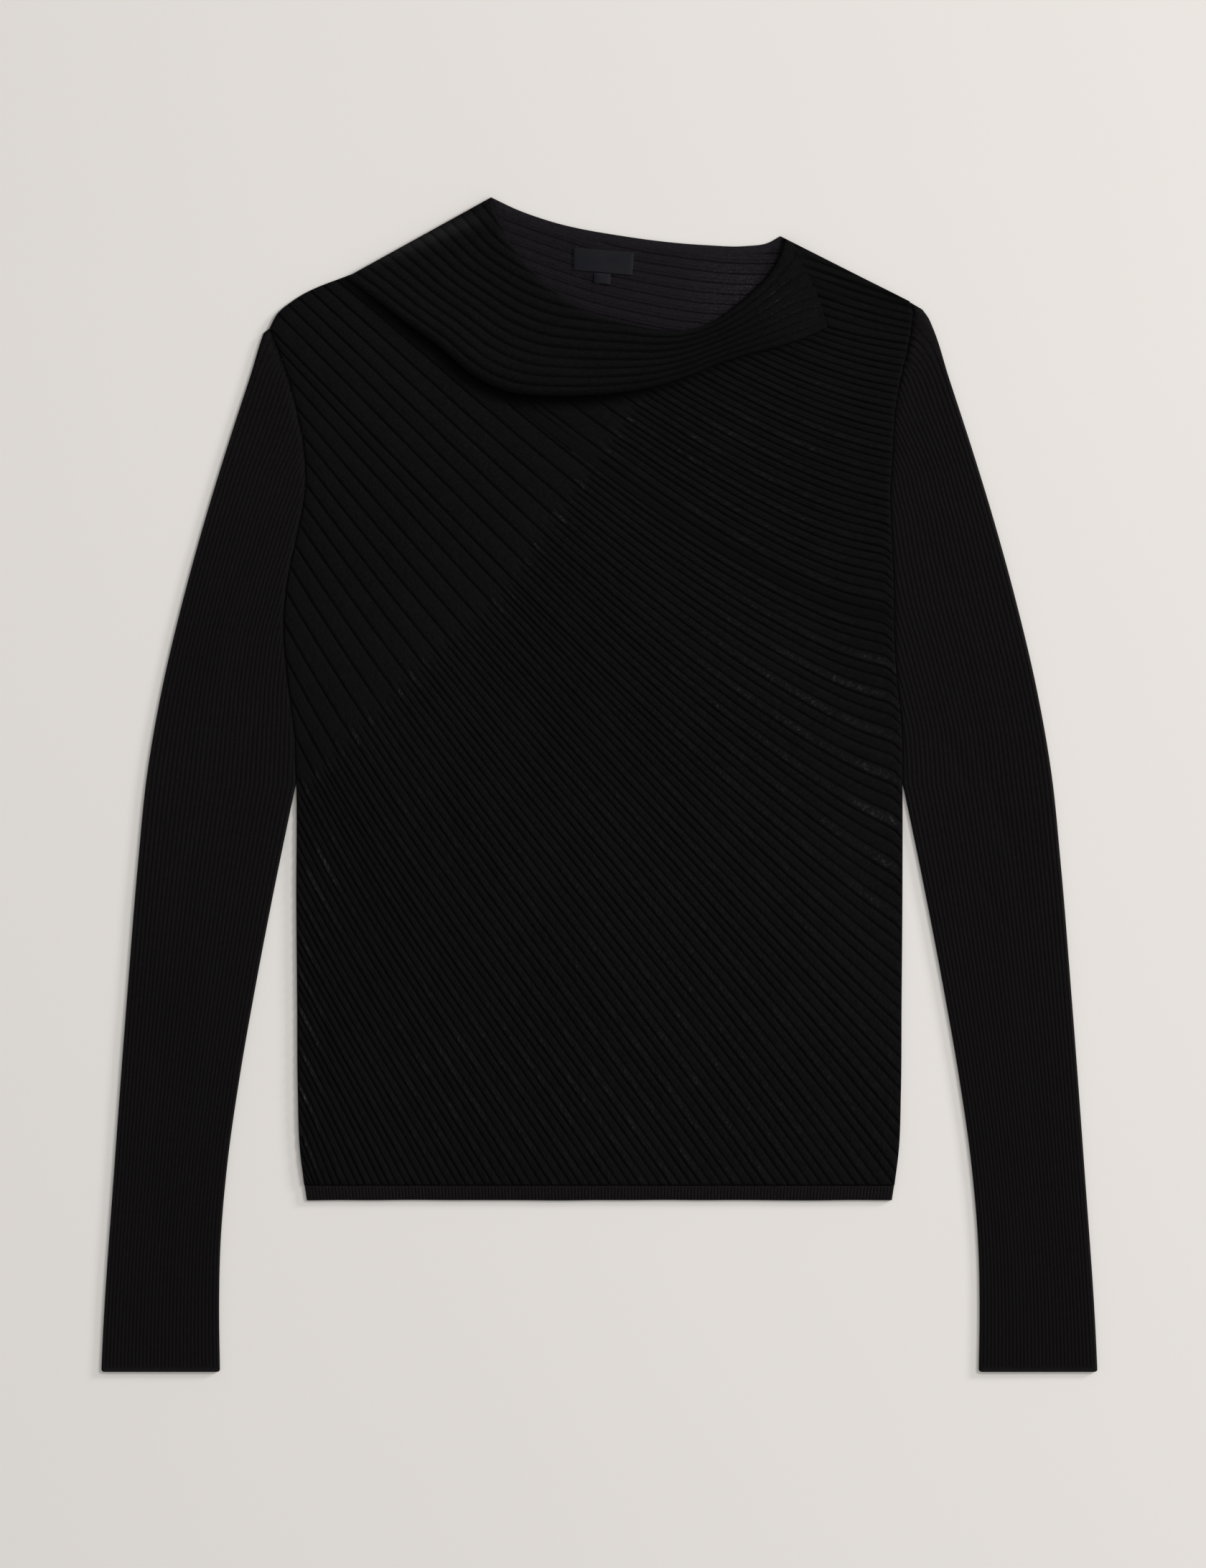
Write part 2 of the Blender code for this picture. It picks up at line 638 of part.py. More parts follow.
def build_cowl(material):
    """The draped neck: a rounded fold whose ribs run along it and leave over the neck edge."""
    spots = np.linspace(0.0, 1.0, len(COWL_SECTIONS))
    t = np.linspace(0.0, 1.0, COWL_STATIONS)
    at = columns(read_table(spots, COWL_SECTIONS, t), COWL_COLUMNS)
    neck = np.stack([at["neck_x"], at["neck_y"]], axis=1)
    fold = np.stack([at["fold_x"], at["fold_y"]], axis=1)
    width = np.hypot(*(neck - fold).T)
    most = int(at["ribs"][0])
    marks = [rib + step for rib in range(most) for step in COWL_RIB_STEPS] + [most]
    marks = np.array(marks, float)[:, None]
    share = np.clip(marks / at["ribs"], 0.0, 1.0)
    share[-1] = 1.0
    grid = fold + (neck - fold) * share[..., None]
    from_fold = share * width
    from_neck = (1.0 - share) * width
    from_end = np.minimum(t, 1.0 - t) * COWL_LENGTH
    edge = rounding(np.minimum(from_fold, from_neck), COWL_ROUND)
    edge = np.maximum(edge, rounding(from_end, COWL_ROUND))
    relief = np.where(marks % 1.0 > 0.0, 1.0, 0.0) * (1.0 - edge)
    roll = np.exp(-(((from_fold - COWL_ROLL_PLACE) / COWL_ROLL_WIDTH) ** 2))
    raised = at["rise"] * (COWL_FLAT_SHARE + (1.0 - COWL_FLAT_SHARE) * roll) * (1.0 - edge)
    tops = COWL_LIFT + COWL_WALL + raised + COWL_RIB_HEIGHT * relief

    def floor_at(distance):
        step = np.clip((distance - COWL_OVERLAP) / COWL_STEP, 0.0, 1.0)
        return COWL_LIFT - (COWL_LIFT - FRONT_FLOOR) * step

    floor = np.array([floor_at(from_fold[i, j]) for i, j in grid_loop(*tops.shape)])
    inner_flat = []
    inner_heights = []
    inner_lines = []
    for distance in (COWL_OVERLAP, COWL_OVERLAP + COWL_STEP):
        for j in range(1, COWL_STATIONS - 1):
            if j > 1:
                inner_lines.append((len(inner_flat) - 1, len(inner_flat)))
            inner_flat.append(fold[j] + (neck[j] - fold[j]) * distance / width[j])
            inner_heights.append(floor_at(distance))

    def build(shape):
        ribbed_sheet(shape, grid, tops, floor, inner=(inner_flat, inner_heights, inner_lines))

    return object_from("front_cowl", closed_mesh("front_cowl", build), material)


def back_outline():
    """The back's outline, point by point, round from the left neck point."""
    neck = smooth_curve(BACK_NECK, NECK_STEP)
    right = smooth_curve(RIGHT_SIDE, SIDE_STEP)
    left = smooth_curve(LEFT_SIDE, SIDE_STEP)[::-1]
    shoulder = smooth_curve(LEFT_SHOULDER, SIDE_STEP)[::-1]
    return np.concatenate([neck, [RIGHT_SHOULDER_TIP], right, left, shoulder[1:]])


def neck_rib_points():
    """Rib lines inside the neck opening: flat points, heights and the lines that join them."""
    neck_line = [row[0:2] for row in COWL_SECTIONS]
    window = smooth_curve(neck_line)
    neck = smooth_curve(BACK_NECK)
    brim = smooth_curve(neck_line, SIDE_STEP)[1:-1]
    flat = [(x, y + NECK_RIB_CLEARANCE / 2) for x, y in brim]
    heights = [BACK_WALL] * len(flat)
    lines = [(k - 1, k) for k in range(1, len(flat))]
    xs = np.linspace(*NECK_RIB_SPAN, NECK_RIB_SAMPLES)
    low = np.interp(xs, window[:, 0], window[:, 1]) + NECK_RIB_CLEARANCE
    high = np.interp(xs, neck[:, 0], neck[:, 1]) - NECK_EDGE_WIDTH
    rows = int((NECK_RIB_LAST_Y - NECK_RIB_FIRST_Y) / NECK_RIB_PITCH * 2)
    for row in range(rows):
        start = NECK_RIB_FIRST_Y + row * NECK_RIB_PITCH / 2
        ys = start + NECK_RIB_SLOPE * (xs - NECK_RIB_MIDDLE_X)
        inside = (ys > low) & (ys < high)
        if not inside.any():
            continue
        first = int(np.argmax(inside))
        run = np.flatnonzero(~inside[first:])
        last = first + int(run[0]) - 1 if len(run) else len(xs) - 1
        if last - first < NECK_RIB_LEAST:
            continue
        count = max(NECK_RIB_LEAST, int(NECK_RIB_STATIONS * (last - first) / len(xs)))
        height = NECK_RIB_HEIGHT * (row % 2)
        for k, x in enumerate(np.linspace(xs[first], xs[last], count)):
            end = k in (0, count - 1)
            if k:
                lines.append((len(flat) - 1, len(flat)))
            flat.append((x, start + NECK_RIB_SLOPE * (x - NECK_RIB_MIDDLE_X)))
            heights.append(BACK_WALL + (0.0 if end else height))
    return flat, heights, lines


def build_back(material):
    outline = back_outline()
    flat, heights, lines = neck_rib_points()

    def build(shape):
        upper = add_points(shape, outline, BACK_WALL)
        fill_loop(shape, upper, outline, flat, heights, lines)
        lower = add_points(shape, outline, GROUND_CHAMFER)
        band_between(shape, upper, lower)
        under_flat = inset_loop(outline, GROUND_CHAMFER)
        under = add_points(shape, under_flat, 0.0)
        band_between(shape, lower, under)
        fill_loop(shape, under, under_flat)

    return object_from("back_panel", closed_mesh("back_panel", build), material)


def build_hem_band(material):
    """A flattened ring below the body, with upright ribs on its upper layer."""
    top_y = HEM_SEAM_Y - SEAM_GAP
    pairs = int(round(2 * BAND_TOP_HALF / BAND_PITCH))
    count = 2 * pairs + 1
    share = np.linspace(-1.0, 1.0, count)
    upper_x = share * BAND_TOP_HALF
    lower_x = share * BAND_BOTTOM_HALF
    edge = rounding((1.0 - np.abs(share)) * BAND_TOP_HALF, FOLD_ROUND)
    ribs = np.arange(count) % 2
    base = BACK_WALL + SLEEVE_HOLLOW + BAND_WALL
    tops = base - BAND_EDGE_DROP * edge + BAND_RIB_HEIGHT * ribs * (1.0 - edge)

    def build(shape):
        upper = add_points(shape, np.stack([upper_x, np.full(count, top_y)], axis=1), tops)
        lower = add_points(shape, np.stack([lower_x, np.full(count, BAND_BOTTOM_Y)], axis=1), tops)
        for i in range(count - 1):
            shape.faces.new((upper[i], upper[i + 1], lower[i + 1], lower[i]))
        ground = [
            (upper_x[0], top_y), (upper_x[-1], top_y),
            (lower_x[-1], BAND_BOTTOM_Y), (lower_x[0], BAND_BOTTOM_Y),
        ]
        left_up, right_up, right_down, left_down = add_points(shape, ground, 0.0)
        shape.faces.new((left_up, right_up, right_down, left_down))
        shape.faces.new(upper + [right_up, left_up])
        shape.faces.new(lower + [right_down, left_down])
        shape.faces.new((upper[0], lower[0], left_down, left_up))
        shape.faces.new((upper[-1], lower[-1], right_down, right_up))

    band = object_from("hem_band", closed_mesh("hem_band", build), material)
    half = BAND_BOTTOM_HALF - HOLLOW_INSET
    over = top_y + HOLLOW_REACH
    under = BAND_BOTTOM_Y - HOLLOW_REACH
    outline = ((-half, under), (half, under), (half, over), (-half, over))

    def build_hollow(shape):
        plate(shape, outline, BACK_WALL, BACK_WALL + SLEEVE_HOLLOW)

    hollow = object_from("hem_band_hollow", closed_mesh("hem_band_hollow", build_hollow), material)
    cut_with(band, hollow)
    return band


def build_label(name, corners, material):
    def build(shape):
        plate(shape, corners, LABEL_LIFT, LABEL_LIFT + LABEL_THICKNESS)

    return object_from(name, closed_mesh(name, build), material)


def main():
    clear_scene()
    front_knit = finish("front_knit", SOOT, 0.85)
    sleeve_knit = finish("sleeve_knit", SLEEVE_BLACK, 0.85)
    inner_knit = finish("inner_knit", INNER_BLACK, 0.9)
    band_knit = finish("band_knit", BAND_BLACK, 0.85)
    satin = finish("label_satin", SATIN, 0.4)
    build_back(inner_knit)
    build_front(front_knit)
    build_cowl(front_knit)
    build_sleeve("sleeve_left", -1.0, LEFT_SIDE, LEFT_CAP_Y, sleeve_knit)
    build_sleeve("sleeve_right", 1.0, RIGHT_SIDE, RIGHT_CAP_Y, sleeve_knit)
    build_hem_band(band_knit)
    build_label("neck_label", NECK_LABEL, satin)
    build_label("size_tab", SIZE_TAB, satin)


main()
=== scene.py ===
"""The looks of a fine-ribbed black knit top with a draped neck, laid flat on a pale floor.

Sizes are in millimetres unless a name ends in _m. X runs across the top, Y towards the neck and Z
up from the floor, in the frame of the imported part. Each piece of cloth is a closed shell whose ribs
are raised in its mesh. The stitches are bump, on a UV map that follows the ribs: U counts metres
along a rib and V counts columns of stitches across it.
"""

import logging
import math
from collections.abc import Callable
from dataclasses import dataclass, field
from enum import Enum

import bmesh
import bpy
import numpy as np
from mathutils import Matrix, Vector
from mathutils.geometry import delaunay_2d_cdt


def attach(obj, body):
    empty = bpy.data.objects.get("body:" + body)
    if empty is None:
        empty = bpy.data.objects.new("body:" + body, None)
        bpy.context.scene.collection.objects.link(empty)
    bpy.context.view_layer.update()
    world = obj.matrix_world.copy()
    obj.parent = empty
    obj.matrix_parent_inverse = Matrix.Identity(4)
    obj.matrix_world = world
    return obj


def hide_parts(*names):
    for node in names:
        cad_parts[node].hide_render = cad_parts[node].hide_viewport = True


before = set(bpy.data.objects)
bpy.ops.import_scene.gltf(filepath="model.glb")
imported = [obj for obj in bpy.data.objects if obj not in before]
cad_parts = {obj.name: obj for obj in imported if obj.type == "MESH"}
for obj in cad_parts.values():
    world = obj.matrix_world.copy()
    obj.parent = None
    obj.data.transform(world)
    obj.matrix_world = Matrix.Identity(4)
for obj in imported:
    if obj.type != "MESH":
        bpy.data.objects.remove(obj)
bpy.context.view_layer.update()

LOG = logging.getLogger("knit_top")

MM = 0.001
LEAST = 1e-6
WELD_M = 2e-6
BODY = "root"

# Names of the cloth's UV map and of its point colours: rubbed wear with a painted sheen, see-through
# stitches with painted glints, and painted shade in grooves, at edges and below the cowl's fold.
STITCH_MAP = "stitches"
MARKS = "marks"
# The marks of side walls and undersides, which darken them with painted shade, and the width of a column of
# stitches on them.
SIDE_MARKS = (0.0, 0.0, 0.3)
FLAT_WALE = 2.2

# Heights of the layers, from the floor up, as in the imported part.
SEAM_GAP = 0.3
BACK_WALL = 1.1
FRONT_FLOOR = BACK_WALL + SEAM_GAP
FRONT_WALL = 1.1
RIB_HEIGHT = 0.85

# Outline of the body: (x, y) down each side, from the shoulder's end past the armhole to the hem.
LEFT_SIDE = (
    (-202.0, 279.6), (-195.0, 262.5), (-185.2, 229.0), (-180.2, 200.0), (-180.2, 180.0),
    (-185.2, 152.9), (-190.5, 128.3), (-193.2, 102.3), (-190.5, 61.4), (-187.0, 35.0),
    (-185.7, -1.0), (-185.7, -69.0), (-185.2, -135.0), (-184.8, -188.0), (-183.4, -225.0),
    (-180.8, -245.7),
)
RIGHT_SIDE = (
    (192.3, 288.9), (190.0, 273.0), (185.2, 251.5), (181.3, 230.0), (179.6, 200.0),
    (178.2, 177.0), (179.1, 154.2), (180.5, 120.3), (180.8, 87.3), (182.5, 62.0),
    (185.3, 35.0), (185.7, -1.0), (185.7, -69.0), (185.2, -135.0), (184.8, -188.0),
    (183.4, -225.0), (180.8, -245.7),
)
LEFT_NECK_POINT = (-66.4, 359.7)
RIGHT_NECK_POINT = (110.9, 335.9)
LEFT_SHOULDER = ((-147.4, 314.4), (-187.0, 296.8), (-197.5, 288.0), (-202.0, 279.6))
RIGHT_SHOULDER_TIP = (190.1, 295.9)
BACK_NECK = (
    LEFT_NECK_POINT, (-50.6, 352.2), (-30.8, 345.2), (17.2, 335.5), (65.1, 330.4),
    (89.3, 329.8), (103.4, 331.8), RIGHT_NECK_POINT,
)
HEM_SEAM_Y = -245.7

# The front's upper edge: beside the cowl's end, then hidden below the cowl to the left shoulder.
COWL_END_EDGE = ((113.1, 334.6), (130.2, 305.6), (138.6, 281.8))
HIDDEN_EDGE = (
    (138.6, 281.8), (121.0, 280.5), (90.2, 272.5), (66.0, 266.4), (28.6, 252.8), (2.6, 249.7),
    (-43.6, 248.8), (-59.0, 250.1), (-74.4, 257.2), (-89.8, 269.5), (-127.2, 295.0),
    (-138.6, 303.8), (-147.4, 314.4),
)

# The front's ribs, one row for each traced one: its unit number, where it starts along the upper
# left edge, where it ends along the lower right edge, and its slopes in degrees below horizontal.
GUIDE_COLUMNS = ("unit", "start", "start_slope", "end", "end_slope")
FRONT_GUIDES = (
    (0.0, 0.0, 27, 0.0, 27),
    (1.5, 33.0, 21, 7.0, 16),
    (2.5, 49.0, 19, 20.0, 9),
    (3.5, 76.0, 21, 34.0, 8),
    (5.0, 105.0, 25, 54.0, 9),
    (7.0, 139.0, 28, 81.0, 11),
    (9.0, 169.0, 30, 109.0, 12),
    (11.0, 205.0, 33, 140.0, 13),
    (13.0, 242.0, 35, 173.0, 15),
    (14.0, 262.0, 37, 191.0, 16),
    (14.4, 318.0, 38, 199.0, 16),
    (14.8, 371.0, 39, 207.0, 17),
    (15.5, 381.0, 39, 221.0, 18),
    (17.0, 395.0, 41, 254.0, 21),
    (19.0, 412.0, 43, 304.0, 26),
    (21.0, 428.0, 45, 359.0, 34),
    (23.0, 453.0, 47, 417.0, 41),
    (25.0, 490.0, 50, 476.0, 47),
    (27.4, 529.0, 53, 546.0, 54),
    (30.0, 562.0, 56, 602.0, 55),
    (33.0, 604.0, 60, 662.0, 55),
    (37.0, 693.0, 64, 736.0, 57),
    (41.0, 791.0, 63, 806.0, 60),
    (45.0, 885.0, 63, 868.0, 65),
    (47.0, 936.0, 65, 896.0, 68),
    (47.6, 955.0, 66, 901.0, 68),
)
# The ribs are broad above and left of this line and fine below it.
SPLIT_LINE = (
    (-185.0, -8.0), (-146.0, 34.0), (-101.0, 79.0), (-60.0, 111.0), (-27.0, 162.0), (29.0, 241.0),
    (52.0, 300.0), (60.0, 420.0),
)
SPLIT_WIDTH = 5.0

# How steeply a groove's walls rise.
GROOVE_POWER = 1.6
# Grooves across one rib unit: place in the unit, depth where ribs are fine and where they are
# broad, and half-width in millimetres.
GROOVE_COLUMNS = ("place", "fine", "broad", "half_width")
RIB_GROOVES = (
    (0.0, 1.0, 0.95, 0.66),
    (0.31, 0.84, 0.0, 0.58),
    (0.66, 0.66, 0.10, 0.50),
    (1.0, 1.0, 0.95, 0.66),
)
# Where rows of points run within one rib unit: closest together at its grooves.
ROW_PLACES = (
    0.0, 0.03, 0.065, 0.11, 0.18, 0.245, 0.285, 0.31, 0.335, 0.375, 0.45, 0.53, 0.60, 0.64, 0.66,
    0.68, 0.72, 0.80, 0.88, 0.935, 0.97,
)
# Where the columns of stitches meet, within one rib unit.
WALE_PLACES = (0.0, 0.31, 0.66, 1.0)

# Soft creases on the front: middle, direction in degrees, length, width and height. A trough has a
# height below nothing.
CREASE_COLUMNS = ("x", "y", "turn", "length", "width", "height")
FRONT_CREASES = (
    (140.0, 309.0, -14.0, 44.0, 5.0, 0.7),
    (146.0, 297.0, -9.0, 52.0, 4.0, -0.6),
    (150.0, 287.0, -5.0, 60.0, 5.5, 0.6),
    (133.0, 262.0, -20.0, 50.0, 7.0, 0.5),
    (60.0, 225.0, -28.0, 90.0, 12.0, -0.45),
    (-20.0, 215.0, -20.0, 110.0, 14.0, -0.5),
    (-110.0, 230.0, -42.0, 80.0, 10.0, 0.4),
    (-120.0, 90.0, -58.0, 150.0, 26.0, 0.45),
    (-60.0, 0.0, -50.0, 190.0, 34.0, -0.35),
    (70.0, 60.0, -38.0, 210.0, 36.0, 0.4),
    (125.0, -20.0, -30.0, 130.0, 28.0, -0.35),
    (20.0, -150.0, -52.0, 150.0, 30.0, 0.35),
    (-130.0, -160.0, -60.0, 120.0, 22.0, -0.3),
    (165.0, 20.0, -20.0, 60.0, 8.0, 0.6),
    (162.0, 38.0, -16.0, 60.0, 7.0, -0.5),
    (170.0, -15.0, -26.0, 50.0, 8.0, -0.4),
)

# Patches where single pale see-through stitches with painted glints show: middle, half-width, half-height
# and strength.
SHEER_AND_GLINT_PATCHES = (
    (174.7, -0.2, 2.6, 1.8, 1.0), (176.9, -29.7, 3.0, 2.2, 1.0), (179.5, -22.2, 2.0, 1.5, 0.8),
    (181.3, -35.0, 1.8, 3.0, 0.8), (180.0, -66.0, 1.8, 5.0, 0.5), (166.0, 7.0, 12.0, 7.0, 0.20),
    (164.0, -20.0, 14.0, 8.0, 0.20), (150.0, 50.0, 30.0, 26.0, 0.12), (172.0, 76.0, 9.0, 12.0, 0.08),
    (168.0, -60.0, 14.0, 22.0, 0.12), (141.0, 245.0, 24.0, 9.0, 0.06), (135.0, 214.0, 26.0, 10.0, 0.06),
    (100.0, 170.0, 60.0, 60.0, 0.05), (110.0, 60.0, 60.0, 60.0, 0.05), (60.0, 220.0, 60.0, 22.0, 0.05),
    (60.0, -30.0, 120.0, 90.0, 0.04), (20.0, -190.0, 150.0, 70.0, 0.07), (-110.0, -40.0, 50.0, 50.0, 0.035),
    (-168.0, -59.0, 9.0, 22.0, 0.26), (-178.0, -165.0, 6.0, 70.0, 0.3), (-95.0, -170.0, 22.0, 40.0, 0.06),
)

# Sleeve: outer edge, with the cap's top row first, and inner edge below the underarm.
SLEEVE_OUTER = (
    (197.0, 292.0), (201.5, 286.0), (204.4, 279.6), (214.0, 249.7), (224.8, 216.7), (241.1, 163.9),
    (255.6, 111.1), (268.0, 58.3), (277.2, 5.5), (282.6, -47.3), (289.1, -126.5), (297.0, -232.1),
    (304.2, -337.7), (305.2, -359.7),
)
SLEEVE_INNER = (
    (186.2, -1.0), (190.4, -21.0), (201.2, -74.0), (211.2, -126.5), (220.4, -179.3), (227.9, -232.1),
    (232.3, -285.0), (233.0, -320.0), (232.5, -359.7),
)
# Ribs across the sleeve at each height: they start one by one along the armhole.
SLEEVE_RIB_COLUMNS = ("y", "ribs")
SLEEVE_RIB_COUNTS = (
    (300.0, 0.0), (276.0, 2.4), (262.0, 6.0), (250.0, 9.5), (217.0, 15.5), (190.0, 20.5),
    (164.0, 22.8), (137.0, 23.8), (111.0, 25.4), (85.0, 28.0), (58.0, 30.0), (32.0, 31.4),
    (2.0, 32.0),
)

# Cowl: the neck edge, the lower fold, the ribs between them and the fold's rise, left to right.
COWL_COLUMNS = ("neck_x", "neck_y", "fold_x", "fold_y", "ribs", "rise")
COWL_SECTIONS = (
    (-66.4, 359.3, -155.4, 310.2, 14.0, 0.6),
    (-62.9, 348.7, -138.6, 298.0, 13.5, 1.2),
    (-56.8, 335.1, -121.0, 284.5, 12.8, 1.9),
    (-46.6, 321.0, -99.0, 268.6, 11.8, 2.3),
    (-34.3, 308.2, -77.0, 250.1, 10.7, 2.5),
    (-19.8, 296.8, -54.1, 240.0, 9.7, 2.6),
    (-2.2, 288.0, -26.4, 237.8, 8.8, 2.6),
    (16.7, 282.6, 2.6, 238.8, 8.3, 2.6),
    (35.2, 278.6, 28.6, 242.2, 8.1, 2.5),
    (50.6, 277.9, 50.6, 248.4, 8.0, 2.3),
    (66.0, 281.8, 70.4, 256.4, 8.0, 2.1),
    (79.2, 289.7, 90.6, 262.9, 8.0, 1.9),
    (92.4, 300.7, 107.8, 267.3, 8.0, 1.6),
    (103.4, 311.7, 121.0, 271.4, 8.0, 1.3),
    (109.6, 323.0, 130.0, 275.4, 8.0, 0.9),
    (112.4, 334.3, 137.6, 280.2, 8.0, 0.5),
)

# Soft creases on the cowl, in the same columns as the front's.
COWL_CREASES = (
    (104.0, 300.0, 24.0, 46.0, 4.0, -0.6),
    (108.0, 309.0, 12.0, 40.0, 3.6, 0.6),
    (98.0, 290.0, 22.0, 60.0, 4.5, 0.55),
    (60.0, 268.0, 12.0, 90.0, 6.0, -0.5),
    (-30.0, 268.0, -24.0, 90.0, 12.0, -0.55),
    (-95.0, 303.0, -38.0, 90.0, 14.0, 0.5),
)

# Corners of the labels, round from the top left.
NECK_LABEL = ((-15.8, 328.9), (21.1, 325.8), (20.2, 311.9), (-15.8, 315.2))
SIZE_TAB = ((-3.2, 313.6), (7.0, 312.7), (6.9, 306.0), (-3.3, 306.8))

# The photograph's frame on the floor: its middle, its height and the camera's distance.
VIEW_CENTRE = (2.2, 0.2)
VIEW_HEIGHT = 961.0
CAMERA_HEIGHT = 4200.0


class Slot(Enum):
    """The record's material slots."""

    FRONT = "knit_front"
    SLEEVE = "knit_sleeve"
    INSIDE = "knit_inside"
    BAND = "knit_band"
    SATIN = "label_satin"


class Hand(Enum):
    """The side of the picture that a piece lies on."""

    LEFT = -1.0
    RIGHT = 1.0


# Soft creases on each sleeve, with X counted outwards from the middle of the top.
SLEEVE_CREASES = {
    Hand.LEFT: (
        (214.0, 146.0, -58.0, 64.0, 9.0, -0.3),
        (232.0, 78.0, -74.0, 110.0, 15.0, 0.35),
        (216.0, 22.0, -70.0, 70.0, 8.0, -0.4),
        (250.0, -52.0, -76.0, 100.0, 11.0, -0.3),
        (246.0, -148.0, -86.0, 130.0, 13.0, 0.3),
        (272.0, -196.0, -84.0, 90.0, 10.0, -0.3),
        (256.0, -276.0, -88.0, 110.0, 12.0, 0.25),
    ),
    Hand.RIGHT: (
        (218.0, 120.0, -62.0, 70.0, 9.0, -0.35),
        (236.0, 60.0, -76.0, 120.0, 14.0, 0.35),
        (222.0, 10.0, -66.0, 60.0, 8.0, -0.4),
        (246.0, -20.0, -70.0, 90.0, 9.0, -0.35),
        (252.0, -130.0, -84.0, 140.0, 14.0, 0.3),
        (240.0, -70.0, -58.0, 50.0, 6.0, -0.35),
        (268.0, -230.0, -86.0, 120.0, 13.0, -0.25),
        (250.0, -290.0, -80.0, 80.0, 9.0, 0.25),
    ),
}


def columns(table: np.ndarray, names: tuple[str, ...]) -> dict[str, np.ndarray]:
    """Gives a table's columns by name.

    Args:
        table: The rows.
        names: The columns' names, in order.

    Returns:
        Each column as an array.
    """
    return dict(zip(names, np.array(table, float).T))


def hermite(
    t: np.ndarray, first: np.ndarray, last: np.ndarray, leave: np.ndarray, arrive: np.ndarray
) -> np.ndarray:
    """Gives points on a cubic curve between two ends.

    Args:
        t: Share of the way along.
        first: Where the curve starts.
        last: Where it ends.
        leave: Its direction at the start, as long as the curve.
        arrive: Its direction at the end, as long as the curve.

    Returns:
        The points.
    """
    straight = (1 + 2 * t) * (1 - t) ** 2 * first + t * t * (3 - 2 * t) * last
    return straight + t * (1 - t) ** 2 * leave + t * t * (t - 1) * arrive


def follow(knots: np.ndarray, values: np.ndarray, slopes: np.ndarray, at: np.ndarray) -> np.ndarray:
    """Reads a curve from its values and slopes at its knots.

    Args:
        knots: The knots' places, rising.
        values: One row of values for each knot.
        slopes: One row of slopes for each knot.
        at: The places to read.

    Returns:
        One row of values for each place.
    """
    gaps = np.diff(knots)
    cell = np.clip(np.searchsorted(knots, at, side="right") - 1, 0, len(gaps) - 1)
    gap = gaps[cell][:, None]
    t = (at - knots[cell])[:, None] / gap
    return hermite(t, values[cell], values[cell + 1], gap * slopes[cell], gap * slopes[cell + 1])


def read_table(knots: np.ndarray, values: np.ndarray, at: np.ndarray) -> np.ndarray:
    """Reads a table between its rows, on a smooth curve that never swings past them.

    Args:
        knots: The rows' places, rising.
        values: One row of values for each knot.
        at: The places to read.

    Returns:
        One row of values for each place.
    """
    steps = np.diff(values, axis=0) / np.diff(knots)[:, None]
    before, after = steps[:-1], steps[1:]
    alike = before * after > 0.0
    total = np.where(alike, before + after, 1.0)
    middle = np.where(alike, 2.0 * before * after / total, 0.0)
    return follow(knots, values, np.concatenate([steps[:1], middle, steps[-1:]]), at)


def read_curve(knots: np.ndarray, values: np.ndarray, at: np.ndarray) -> np.ndarray:
    """Reads a smooth curve through points, rounder than read_table.

    Args:
        knots: The points' places, rising.
        values: The points.
        at: The places to read.

    Returns:
        A point for each place.
    """
    values = np.asarray(values, float)
    gaps = np.diff(knots)[:, None]
    steps = np.diff(values, axis=0) / gaps
    before, after = gaps[:-1], gaps[1:]
    middle = (steps[:-1] * after + steps[1:] * before) / (before + after)
    return follow(knots, values, np.concatenate([steps[:1], middle, steps[-1:]]), at)


def distances_along(points: np.ndarray) -> np.ndarray:
    """Distance of each point along the line through them."""
    steps = np.hypot(*np.diff(np.asarray(points, float)[:, :2], axis=0).T)
    return np.concatenate([[0.0], np.cumsum(steps)])


def smooth_curve(points: tuple, spacing: float = 1.0) -> np.ndarray:
    """Gives points on a smooth curve through the given ones.

    Args:
        points: The points that the curve passes.
        spacing: About how far apart the new points lie.

    Returns:
        The curve's points.
    """
    along = distances_along(np.asarray(points, float))
    count = max(2, int(round(along[-1] / spacing)) + 1)
    return read_curve(along, points, np.linspace(0.0, along[-1], count))


def rounding(distance: np.ndarray, width: float) -> np.ndarray:
    """How far a quarter-round edge lies below its top, as a share of its drop."""
    inward = np.clip(1.0 - np.asarray(distance, float) / width, 0.0, 1.0)
    return 1.0 - np.sqrt(1.0 - inward**2)


def ramp(places: np.ndarray, low: float, high: float) -> np.ndarray:
    """Rises straight from 0 at one place to 1 at another, and is level beyond them."""
    return np.clip((places - low) / (high - low), 0.0, 1.0)


def bell(distance: np.ndarray, width: float) -> np.ndarray:
    """A soft bump: 1 in its middle, fading on both sides."""
    return np.exp(-((distance / width) ** 2))


def groove_depth(distance: np.ndarray, half_width: float) -> np.ndarray:
    """How deep a groove is at a distance from its middle, 0 to 1."""
    return np.exp(-(np.abs(distance / half_width) ** GROOVE_POWER))


def from_whole(numbers: np.ndarray) -> np.ndarray:
    """How far each number lies from a whole one."""
    return np.abs((numbers + 0.5) % 1.0 - 0.5)


def off_line(x: np.ndarray, y: np.ndarray, start: tuple, end: tuple) -> np.ndarray:
    """Measures how far points lie off a straight line.

    Args:
        x: The points' places across.
        y: The points' places along.
        start: A place on the line.
        end: Another place on it.

    Returns:
        The distances.
    """
    run = np.subtract(end, start)
    return np.abs((x - start[0]) * run[1] - (y - start[1]) * run[0]) / np.hypot(*run)


